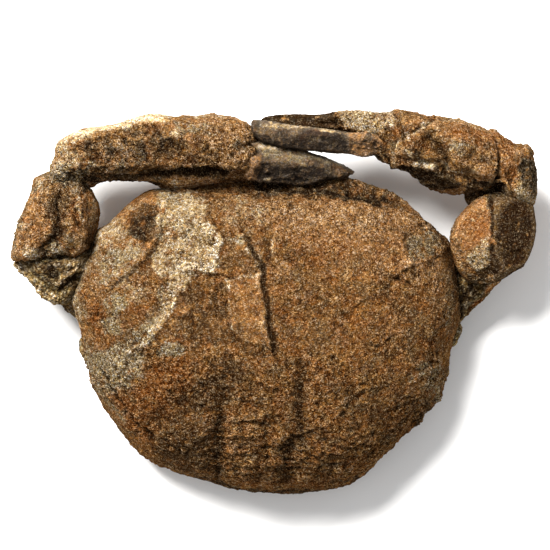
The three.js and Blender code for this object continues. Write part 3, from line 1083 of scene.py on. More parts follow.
PLATE = (
    (-16.7, 7.2), (-12.3, 7.8), (-8.3, 8.5), (-4.7, 10.2), (-4.3, 5.8), (-3.3, -0.8), (-2, -9.2),
    (-1.3, -14.5), (-8.3, -12.8), (-12.7, -11.8), (-14.7, -6.5), (-15.3, 0.2),
)
PLATE_CRACK = (
    (-0.7, -16.5), (-1.7, -14.2), (-2.3, -9.2), (-3, -3.2), (-3.7, 0.8), (-4.3, 5.8), (-4.3, 10.2),
    (-5.7, 13.5), (-8.3, 17.5), (-10.7, 21.8),
)
VEIN = (
    (-37.3, 35.5), (-22.7, 35.5), (-21.7, 26.8), (-18.7, 24.2), (-17, 19.8), (-18.7, 17.5), (-19.3, 12.8),
    (-20.3, 9.8), (-25.7, 9.8), (-27, 7.5), (-30.3, 5.8), (-32.3, 3.5), (-33.3, -0.5), (-35.7, -4.2),
    (-38.3, -8.8), (-42.7, -13.5), (-47.3, -16.5), (-46.3, -13.8), (-42.3, -10.2), (-39.7, -5.8),
    (-38, -1.2), (-36, 3.5), (-35, 7.8), (-39, 9.8), (-41, 11.5), (-40.7, 15.2), (-38, 21.5), (-38.3, 26.8),
)
LEFT_LEDGE = (
    (-50.3, 8.8), (-48, 10.8), (-45.7, 12.8), (-44.3, 13.5), (-42.7, 15.8), (-40, 18.2), (-39.3, 21.5),
    (-38.3, 24.8),
)
VEIN_RIDGE = (
    (-30.3, 5.8), (-32.7, 2.2), (-33.7, -0.8), (-36, -4.8), (-39, -9.5), (-43, -13.8), (-47.3, -16.5),
)
GREY_CORNER = ((43, 18.8), (45.7, 21.5), (51, 22.8), (55, 22.2), (54.3, 18.8), (49.7, 15.5), (45, 13.5))
RIGHT_LEDGE = ((30, 1.5), (35, 5.2), (40, 9.2), (45.7, 11.5), (52.3, 14.8))
LEFT_FURROW = ((-18, -29.8), (-18.7, -35.8), (-19.3, -42.5), (-20, -49.2), (-19.7, -56.5))
RIGHT_FURROW = ((9.7, -19.8), (8.7, -26.5), (8, -33.2), (8, -40.8), (5.7, -45.8), (4.3, -53.2), (3, -59.8))
LEFT_VALLEY = ((-17.7, -23.8), (-23.3, -28.5), (-30, -33.2), (-36.7, -37.5), (-41.7, -41.2))
REAR = box(-70, 70, -70, -20)
LEFT_MARGIN = ((-57, -24), (-53, -31.5), (-47.5, -39.5), (-41.5, -46))


@dataclass(frozen=True)
class Carapace:
    """The crab's back shell, with the rock that fills it and the rough underside of the body."""

    form: Lump = Lump(
        centre=(-2.3, -10.8), base_centre=(0, -2), rim=17, lean=0.15, crown=47, base=-3, floor=0,
        top=Dome(2.7, 1.9), under=Dome(2.3, 1.8),
        outline=(
            (-41.7, 37.5), (-50, 32.2), (-55.7, 26.5), (-60, 23.5), (-61.7, 18.2), (-64.7, 14.2), (-66, 7.5),
            (-68, 0.8), (-66.3, -4.2), (-64.3, -10.8), (-63, -19.2), (-61, -27.5), (-57.3, -35.2),
            (-51.7, -43.2), (-44.3, -51.2), (-36.7, -55.5), (-25, -59.5), (-11.7, -62.8), (5, -64.2),
            (20, -62.5), (30, -57.8), (36.7, -50.8), (45, -42.8), (53.3, -34.2), (57, -25.2), (59.3, -14.2),
            (61.7, -5.2), (61.3, 4.2), (60, 13.5), (58, 20.5), (52.3, 25.2), (46.7, 30.8), (40, 36.2),
            (31.7, 39.8), (23.3, 41.8), (8.3, 42.2), (-8.3, 41.5), (-23.3, 38.8), (-33.3, 37.5),
        ),
    )
    skin: Skin = Skin(
        swells=0.5, crust=0.2, flakes=0.28, crumbs=0.36, pits=0.34, seed=11,
        ridges=0.4, ridged=(Patch(box(-28, 38, -72, -42), 14),),
        rugged=(
            Patch(REAR, 30),
            Streak(((-23.3, 23.5), (-18.3, 18.8), (-20.3, 12.2), (-25.7, 10.2)), 2.6),
            Patch(((-65, -12.5), (-41.7, -10.8), (-33.3, -15.8), (-51.7, -32.5), (-61.7, -30.8)), 6),
        ),
        calm=(
            Patch(PLATE, 1), Streak(((-26.3, 3.5), (-23, -2.5), (-17.7, -9.2)), 5),
            Streak(((-58.3, 23.5), (-51, 30.2), (-41.7, 35.8)), 4),
            Spot((-43.7, 25.8), (6, 6)),
            Streak((
                (-60, -30.8), (-48.3, -45.8), (-25, -58.5), (1.7, -63.2), (23.3, -61.2), (36.7, -52.5),
            ), 3),
        ),
    )
    relief: tuple[Relief, ...] = (
        Relief(Patch(PLATE, 1.2), 0.9),
        Relief(Streak(((-0.3, -13.8), (-8.3, -13.2), (-13, -11.2)), 2.6), -0.6),
        Relief(Scarp(PLATE_CRACK, 7), 0.8),
        Relief(Streak(tuple((x + 0.9, y) for x, y in PLATE_CRACK), 0.8), -0.9),
        Relief(Scarp(((-1, 24), (-1, 20.8), (-1, 13.5), (1, 12.2)), 5), 0.8),
        Relief(Streak(((-3.4, 24), (-2.4, 17), (-2.8, 11)), 1.5), -0.5),
        Relief(Scarp(((4.5, 13.5), (2.7, 12.8), (-1, 11.5), (-4.3, 10.2)), 5), 0.7),
        Relief(Scarp(LEFT_LEDGE, 7, 0.5), 1.5),
        Relief(Streak(tuple((x + 0.5, y - 0.5) for x, y in LEFT_LEDGE), 0.6), -0.25),
        Relief(Scarp(RIGHT_LEDGE, 7, 5), 1.0),
        *(Relief(Spot(at, (1.1, 0.8), 25), -0.8) for at in (
            (43, 10.5), (45.3, 11.5), (47.7, 9.5), (44.7, 7.2), (41, 7.8),
        )),
        Relief(Patch(VEIN, 1.6), 0.3),
        Relief(Streak(VEIN_RIDGE, 0.9), 0.6),
        *(Relief(Spot(at, (1.6, 1.3), 25), 0.7) for at in (
            (-22.3, 23.5), (-19.3, 20.8), (-21, 16.8), (-18.7, 14.8), (-22.7, 12.2), (-26.3, 11.5),
        )),
        *(Relief(Spot(at, (3.4, 2.6), 10, 4), 0.4) for at in (
            (-53.3, -0.2), (-53.7, -8.2), (-43, -10.5), (-34.7, -15.2), (-49, -15.8), (-55.7, -19.8),
        )),
        Relief(Scarp(((-25, 10.2), (-20, 9.4), (-16.5, 9)), 5), 1.0),
        Relief(Streak(((-22.8, 38), (-22, 31), (-20.7, 26.8), (-18.4, 23.5)), 0.4), -0.4),
        Relief(Streak(((-20.3, 40.8), (-11.7, 41.5), (8.3, 41.5), (25, 39.8), (37.7, 37.5)), 5.5), -3.8),
        Relief(Streak(LEFT_FURROW, 3.6), -1.6),
        Relief(Scarp(LEFT_FURROW[::-1], 5, 2.6), 1.0),
        Relief(Streak(RIGHT_FURROW, 3.0), -1.2),
        *(
            Relief(Streak(((x, 6), (x + 0.5, -2), (x + 0.3, -10)), 0.4), -0.35)
            for x in (-28, -25.8, -23.9, -21.8, -19.8, -18)
        ),
        Relief(Streak(LEFT_VALLEY, 3.6), -1.7),
        Relief(Spot((-25, -42.5), (4.6, 13), -6), 0.9),
        Relief(Spot((-5.7, -45.8), (10, 16)), 1.2),
        Relief(Spot((23.3, -40.8), (12, 18)), 1.0),
        Relief(Streak(LEFT_MARGIN, 0.8), -1.2),
        Relief(Scarp(((38, 24.5), (43.3, 24), (44.6, 20.8)), 3, 0.5), 0.5),
        Relief(Streak(((42.7, 20.5), (43.2, 22.8), (47, 24.6), (51, 26.2)), 0.5), -0.6),
        Relief(Spot((34.5, -54.5), (2.2, 1.8)), 1.8),
        Relief(Spot((59, -20.5), (1.1, 1.1)), 1.6),
        Relief(Spot((45.3, -43.5), (1.4, 1.1)), 0.9),
        Relief(Spot((22.3, -36.8), (2.3, 2.5), 0, 4), 0.8),
        Relief(Spot((22.3, -36.8), (1.4, 1.6)), -1.8),
        Relief(Spot((0.3, -29.2), (1.6, 1.2)), -1.1),
        Relief(Scarp(((4.7, -43.8), (8.3, -43.5), (11, -42.5)), 2.5), 0.9),
        Relief(Streak(((6, -45.8), (8.3, -46.5), (10.3, -45.8)), 1.6), -0.6),
        Relief(Streak(((46.3, -40.2), (48.3, -38.5), (50, -37.2)), 1.1), -1.8),
        *(
            Relief(Scarp(((x, y), (x + run / 2, y + 0.8), (x + run, y + 0.3)), 1.6, 0.4), 1.0)
            for x, y, run in (
                (-16, -44, 8), (-14, -49.5, 10), (-6, -53.5, 11), (-14, -57, 12), (2, -58.5, 10),
                (-3, -47, 8),
                (-12, -39, 7), (12, -50, 9), (16, -56, 9), (24, -47, 8),
            )
        ),
    )
    beneath: tuple[Relief, ...] = (
        Relief(Patch((
            (-9, 30), (9, 30), (13, 8), (16, -22), (8, -40), (-8, -40), (-16, -22), (-13, 8),
        ), 2), 0.6),
        *(Relief(Streak(((-14, y), (0, y - 2), (14, y)), 0.8), -0.8) for y in (22, 13, 4, -5, -14, -23, -32)),
        *(
            Relief(Streak(((side * 15, y), (side * 32, y + 3), (side * 48, y + 9)), 1.3), -1.6)
            for side in (-1, 1)
            for y in (18, 7, -4, -15, -26)
        ),
        *(
            Relief(Spot((side * 44, y), (6, 3.6), side * 20), 2.0)
            for side in (-1, 1)
            for y in (21, 11, 0, -11)
        ),
    )
    stains_and_painted_light: tuple[StainAndPaintedLight, ...] = (
        StainAndPaintedLight(Tint.PALE, 1.0, Patch(VEIN, 2.5)),
        StainAndPaintedLight(Tint.GREY, 1.0, Streak(((-37, 36.8), (-36.3, 29.2), (-37.3, 20.8)), 2.2)),
        StainAndPaintedLight(Tint.GREY, 0.8, Spot((-30, 23.5), (3, 5), -20)),
        StainAndPaintedLight(Tint.GREY, 0.9, Spot((-29.5, 33.2), (6.5, 5))),
        StainAndPaintedLight(Tint.GREY, 1.0, Streak(((-37.3, 4.2), (-38.3, -2.5), (-41, -7.5)), 2.0)),
        StainAndPaintedLight(Tint.GREY, 0.5, Spot((-35.7, 11.5), (2.5, 4))),
        StainAndPaintedLight(Tint.DARK, 0.5, Spot((-37.3, 8.2), (2, 2.5))),
        StainAndPaintedLight(Tint.CREAM, 1.0, Streak(((-23.3, 24.2), (-19, 20.8), (-20.7, 16.8), (-19.3, 13.5)), 1.8)),
        StainAndPaintedLight(Tint.CREAM, 1.0, Streak(((-31.7, 10.8), (-27.7, 12.5), (-23.3, 11.5), (-20.3, 10.8)), 1.4)),
        StainAndPaintedLight(Tint.CREAM, 0.15, Patch(((-36, 27), (-22, 27), (-21, 14), (-36, 14)), 8)),
        StainAndPaintedLight(Tint.CREAM, 0.6, Streak(VEIN_RIDGE, 0.6)),
        StainAndPaintedLight(Tint.PALE, 0.8, Streak(((-16.3, 6.5), (-15.3, 0.8), (-14.3, -9.2)), 0.45)),
        StainAndPaintedLight(Tint.CREAM, 0.75, Streak(((-16.7, 7.2), (-12.3, 7.8), (-8.3, 8.5), (-5, 10.2)), 0.6)),
        # painted highlight: cream along the step's edge that faces the lamp
        StainAndPaintedLight(Tint.CREAM, 0.6, Streak(((-1, 20.8), (-1, 13.5)), 0.5)),
        # painted shadow: a thin dark streak on the low side of the left ledge's step
        StainAndPaintedLight(Tint.DARK, 0.3, Streak(tuple((x + 0.4, y - 0.4) for x, y in LEFT_LEDGE[1:]), 0.4)),
        StainAndPaintedLight(Tint.DARK, 1.5, Patch((
            (-47.3, 30.2), (-43, 32.5), (-39, 31.5), (-38.3, 26.8), (-39, 22.2), (-41.7, 19.8), (-45, 19.5),
            (-48, 22.5), (-49, 26.8),
        ), 1.6)),
        StainAndPaintedLight(Tint.CHAR, 0.85, Patch((
            (-48.7, 26.8), (-45.7, 28.5), (-42.7, 27.5), (-38.3, 29.2), (-38.3, 25.2), (-42, 22.5),
            (-44.3, 19.5), (-45.7, 20.2), (-48.7, 22.8),
        ), 1.4)),
        StainAndPaintedLight(Tint.PALE, 0.9, Spot((-46.7, 31.8), (2.2, 1.2))),
        StainAndPaintedLight(Tint.PALE, 0.8, Spot((-53.3, 24.8), (3.5, 3.5))),
        StainAndPaintedLight(Tint.TAN, 0.45, Patch((
            (-63.7, 13.5), (-58.3, 25.8), (-43.3, 36.8), (-35, 38.2), (-38.3, 32.2), (-51.7, 25.8),
            (-45, 13.5), (-48.3, 4.2), (-61.7, 0.8),
        ), 5)),
        StainAndPaintedLight(Tint.PALE, 0.35, Patch((
            (-60, 17.5), (-51.7, 25.8), (-42.3, 17.5), (-48.3, 10.2), (-55, 5.8),
        ), 7)),
        StainAndPaintedLight(Tint.GREY, 0.9, Spot((-49.3, 15.2), (4, 5), -20)),
        # painted light: the left rim, which faces the lamp, is made paler
        StainAndPaintedLight(Tint.PALE, 0.9, Streak(((-57, 24), (-61, 18), (-65.5, 8), (-67, 0), (-65, -5)), 2.6)),
        StainAndPaintedLight(Tint.PALE, 0.6, Spot((-46.7, 4.2), (5, 4))),
        StainAndPaintedLight(Tint.TAN, 0.8, Spot((1, 11), (5, 4))),
        StainAndPaintedLight(Tint.TAN, 0.7, Spot((-13.3, -49.2), (3, 4))),
        # painted light: a paler spot on the right rim
        StainAndPaintedLight(Tint.PALE, 0.6, Spot((53.3, -29.2), (4, 4))),
        StainAndPaintedLight(Tint.DARK, 0.9, Streak(((50, 29), (55.5, 23), (59.5, 15), (61, 6), (61.5, -2)), 1.8)),
        StainAndPaintedLight(Tint.GREY, 0.8, Spot((-54.7, 11.2), (6, 8))),
        StainAndPaintedLight(Tint.GREY, 0.55, Patch((
            (-17.7, 22.2), (-11.7, 23.5), (-5.7, 20.8), (-2.3, 11.5), (-4.3, 8.8), (-9, 15.5), (-13, 19.5),
        ), 3)),
        StainAndPaintedLight(Tint.GREY, 0.4, Patch((
            (-17.7, 36.8), (-4.3, 37.5), (-2.3, 25.8), (-10, 22.5), (-17.7, 26.8),
        ), 4)),
        StainAndPaintedLight(Tint.TAN, 0.8, Patch((
            (-16.7, 35.5), (48.3, 34.2), (58.3, 14.2), (55, -5.8), (41.7, 17.5), (18.3, 13.5), (1.7, 22.5),
            (-16.7, 25.8),
        ), 12)),
        StainAndPaintedLight(Tint.PALE, 0.25, Patch((
            (-20, 37.5), (8.3, 34.2), (48.3, 29.2), (51.7, 22.5), (18.3, 20.8), (-1.7, 25.8), (-18.3, 26.8),
        ), 8)),
        StainAndPaintedLight(Tint.IRON, 0.1, Patch(PLATE, 2)),
        StainAndPaintedLight(Tint.TAN, 0.4, Patch(PLATE, 2)),
        StainAndPaintedLight(Tint.DARK, 0.6, Spot((-12, -6.8), (1.3, 2.4))),
        StainAndPaintedLight(Tint.DARK, 1.0, Streak((
            (-9.7, 21.5), (-7.3, 16.8), (-4.7, 12.8), (-3.7, 10.2), (-3, 0.8), (-1.7, -9.2), (-0.3, -15.2),
        ), 1.1)),
        StainAndPaintedLight(Tint.CREAM, 0.9, Spot((-4.7, -6.2), (1.8, 0.6), -20)),
        StainAndPaintedLight(Tint.IRON, 0.9, Spot((-58.3, -5.2), (4, 7), 10, 3)),
        StainAndPaintedLight(Tint.IRON, 0.85, Patch((
            (-49, -23.2), (-41.7, -19.8), (-36.7, -16.5), (-30, -15.8), (-27.7, -19.8), (-25.7, -27.5),
            (-28.3, -34.2), (-33.3, -37.5), (-38.3, -40.8), (-41.7, -45.8), (-48.3, -42.5), (-52.3, -35.2),
            (-55, -29.8),
        ), 4)),
        StainAndPaintedLight(Tint.DARK, 0.35, Patch((
            (-41.7, -34.2), (-33.3, -36.5), (-23.3, -32.5), (-21, -45.8), (-23.3, -55.2), (-38.3, -51.8),
            (-45.7, -43.2),
        ), 8)),
        # painted shadow: a dark band and a near-black streak along the shell's front, where the claws cast
        # their shadow
        StainAndPaintedLight(Tint.DARK, 1.2, Streak(((-7, 38.5), (8.3, 37.8), (25, 38.5), (41, 34.5)), 2.8)),
        StainAndPaintedLight(Tint.CHAR, 2.0, Streak(((-4, 40.2), (8.3, 39.8), (25, 38.5), (37, 35.5)), 2.6)),
        # painted shadow: near-black on the shell's front edge under the left palm
        StainAndPaintedLight(Tint.CHAR, 1.2, Streak(((-42, 38), (-36, 38.3), (-29, 38.5)), 1.8)),
        StainAndPaintedLight(Tint.DARK, 0.7, Streak(((-34.3, -32.5), (-25, -29.8), (-17.7, -25.8), (-11.7, -23.2)), 3)),
        StainAndPaintedLight(Tint.IRON, 0.45, Spot((17.7, 19.2), (13, 8), 0, 3)),
        StainAndPaintedLight(Tint.TAN, 0.5, Spot((40, 11), (8, 6), 0, 3)),
        StainAndPaintedLight(Tint.TAN, 0.5, Spot((40, -9), (7, 6), 0, 3)),
        StainAndPaintedLight(Tint.IRON, 0.35, Spot((40, 22.5), (9, 6), 0, 3)),
        StainAndPaintedLight(Tint.IRON, 0.35, Spot((31.7, -9.2), (16, 9), 20, 3)),
        StainAndPaintedLight(Tint.IRON, 0.5, Streak(((-54, -31.8), (-48.3, -40.5), (-41, -47.2)), 2.0)),
        StainAndPaintedLight(Tint.IRON, 0.5, Spot((58, 17.5), (2.5, 4))),
        StainAndPaintedLight(Tint.IRON, 0.5, Streak(((-13.3, -58.5), (1.7, -60.5), (15, -59.2)), 2)),
        StainAndPaintedLight(Tint.GREY, 1.5, Spot((-53, -0.5), (4, 3.2), 0, 4)),
        StainAndPaintedLight(Tint.GREY, 1.5, Spot((-53.7, -7.8), (4, 3.2), 0, 4)),
        StainAndPaintedLight(Tint.GREY, 1.5, Spot((-43, -10.5), (4, 3.6), 30, 4)),
        StainAndPaintedLight(Tint.GREY, 1.5, Spot((-34.3, -15.2), (5.5, 2.6), 0, 4)),
        StainAndPaintedLight(Tint.GREY, 1.5, Spot((-51, -21.2), (7.5, 8), 20, 4)),
        StainAndPaintedLight(Tint.GREY, 0.8, Spot((-61, -18.5), (5, 6), 20, 4)),
        StainAndPaintedLight(Tint.PALE, 0.8, Spot((-48.3, -20.2), (6, 6), 20, 3)),
        StainAndPaintedLight(Tint.GREY, 1.1, Patch(GREY_CORNER, 1.8)),
        StainAndPaintedLight(Tint.DARK, 0.45, Patch(GREY_CORNER, 1.8)),
        StainAndPaintedLight(Tint.DARK, 0.8, Streak(((43.3, 17.5), (43, 19.8), (45, 22.2), (48.3, 23.8)), 0.7)),
        StainAndPaintedLight(Tint.GREY, 0.6, Spot((51, -23.8), (7, 6), 0, 3)),
        StainAndPaintedLight(Tint.GREY, 0.4, Streak(((58.3, 9.2), (59, 0.8), (57.3, -9.2)), 3.0)),
        StainAndPaintedLight(Tint.GREY, 0.6, Streak(((-60.3, -19.8), (-57.7, -29.8), (-51, -38.5)), 2.6)),
        StainAndPaintedLight(Tint.CHAR, 0.7, Streak(((48.3, -40.5), (51.7, -33.8), (54.3, -29.8)), 2.0)),
        StainAndPaintedLight(Tint.CREAM, 0.8, Spot((52.3, -36.8), (1.8, 0.9), 35)),
        StainAndPaintedLight(Tint.CHAR, 0.8, Spot((34.3, -54.8), (2.2, 1.6))),
        StainAndPaintedLight(Tint.DARK, 0.35, Patch((
            (-29, 6.8), (-16.3, 6.2), (-14.3, -11.8), (-25, -14.2), (-31.7, -7.5),
        ), 8)),
        StainAndPaintedLight(Tint.DARK, 0.15, Patch((
            (-41.7, -36.5), (-8.3, -32.5), (18.3, -34.2), (45, -29.8), (50, -45.8), (28.3, -65.8),
            (-15, -65.8), (-41.7, -59.2),
        ), 20)),
        StainAndPaintedLight(Tint.DARK, 0.4, Patch((
            (-30, 10.8), (-3.3, -9.2), (8.3, -9.2), (8.3, -32.5), (-25, -32.5), (-33.3, -9.2),
        ), 10)),
        # painted shade: darker down the left furrow, on its shaded wall
        StainAndPaintedLight(Tint.DARK, 0.7, Streak((
            (-18.7, -31.2), (-18.7, -36.5), (-18.7, -42.5), (-19, -49.2), (-19, -55.8),
        ), 2.2)),
        # painted light: paler on the bulge beside the left furrow, on its side towards the lamp
        StainAndPaintedLight(Tint.TAN, 0.7, Spot((-23.7, -43.2), (2.8, 7.5), -4)),
        StainAndPaintedLight(Tint.CHAR, 0.6, Streak(((8, -26.2), (8.3, -32.5), (8, -41.5)), 1.5)),
        StainAndPaintedLight(Tint.DARK, 0.35, Streak(RIGHT_FURROW, 3.0)),
        StainAndPaintedLight(Tint.DARK, 0.6, Streak(((-17.7, -29.8), (-23, -32.5), (-30.3, -36.5), (-37.7, -40.2)), 2.6)),
        StainAndPaintedLight(Tint.DARK, 0.6, Patch((
            (-41.7, -45.8), (-21.7, -42.5), (-21, -55.8), (-28.3, -57.2), (-38.3, -53.2),
        ), 6)),
        StainAndPaintedLight(Tint.CHAR, 0.3, Streak((
            (-38.3, -58.5), (-15, -63.2), (18.3, -63.8), (35, -55.8), (48.3, -42.5),
        ), 3)),
        # painted shade: near-black along the rear edge, standing in for the shade under the rim
        StainAndPaintedLight(Tint.CHAR, 0.9, Streak((
            (-26, -60.5), (-11.7, -64), (5, -65.4), (20, -63.7), (31, -58.8),
        ), 2.6)),
        StainAndPaintedLight(Tint.DARK, 0.3, Spot((18.3, 4.2), (15, 5), -10)),
        StainAndPaintedLight(Tint.CHAR, 0.35, Spot((-10, -40.8), (4, 5))),
        StainAndPaintedLight(Tint.CHAR, 0.4, Spot((-5.7, -16.5), (6, 3))),
    )

    def build(self) -> None:
        """Builds the carapace."""
        Piece(
            "carapace", "carapace", CARAPACE_SHELL, self.form, self.skin, self.relief, self.beneath,
            stains_and_painted_light=self.stains_and_painted_light,
        ).build()


@dataclass(frozen=True)
class LegStumps:
    """The stumps of two walking legs, under the carapace's edge."""

    left: Lump = Lump(
        centre=(-62.6, -15.2), rim=11, crown=16, base=5,
        outline=(
            (-65.7, -12.8), (-65.7, -16.5), (-63.7, -19.2), (-60, -18.5), (-58, -14.2), (-60.7, -11.5),
            (-63.7, -11.5),
        ),
    )
    right: Lump = Lump(
        centre=(60, -10.6), rim=10, crown=15, base=4,
        outline=(
            (61.7, -6.5), (63, -8.5), (62.7, -10.8), (60.7, -14.2), (58, -14.8), (56.7, -10.8), (58, -6.5),
        ),
    )

    def build(self) -> None:
        """Builds both stumps, in porous crust."""
        stumps = (("left_leg_stump", self.left), ("right_leg_stump", self.right))
        for number, (node, form) in enumerate(stumps):
            skin = Skin(0.2, 0.2, 0.2, 0.3, 0.6, 1.9, seed=21 + number)
            Piece(node, "crusty_matrix", CRUSTY_MATRIX, form, skin).build()


# ---------------------------------------------------------------- the arms

PALM_END = ((-75, 54.2), (-64.7, 51.5), (-64.7, 44.8), (-69.7, 43.5), (-75, 42.5))


@dataclass(frozen=True)
class Arm:
    """An arm and its claw, from the body outwards."""

    pieces: tuple[Piece, ...]

    def build(self) -> None:
        """Builds each piece of the arm."""
        for piece in self.pieces:
            piece.build()


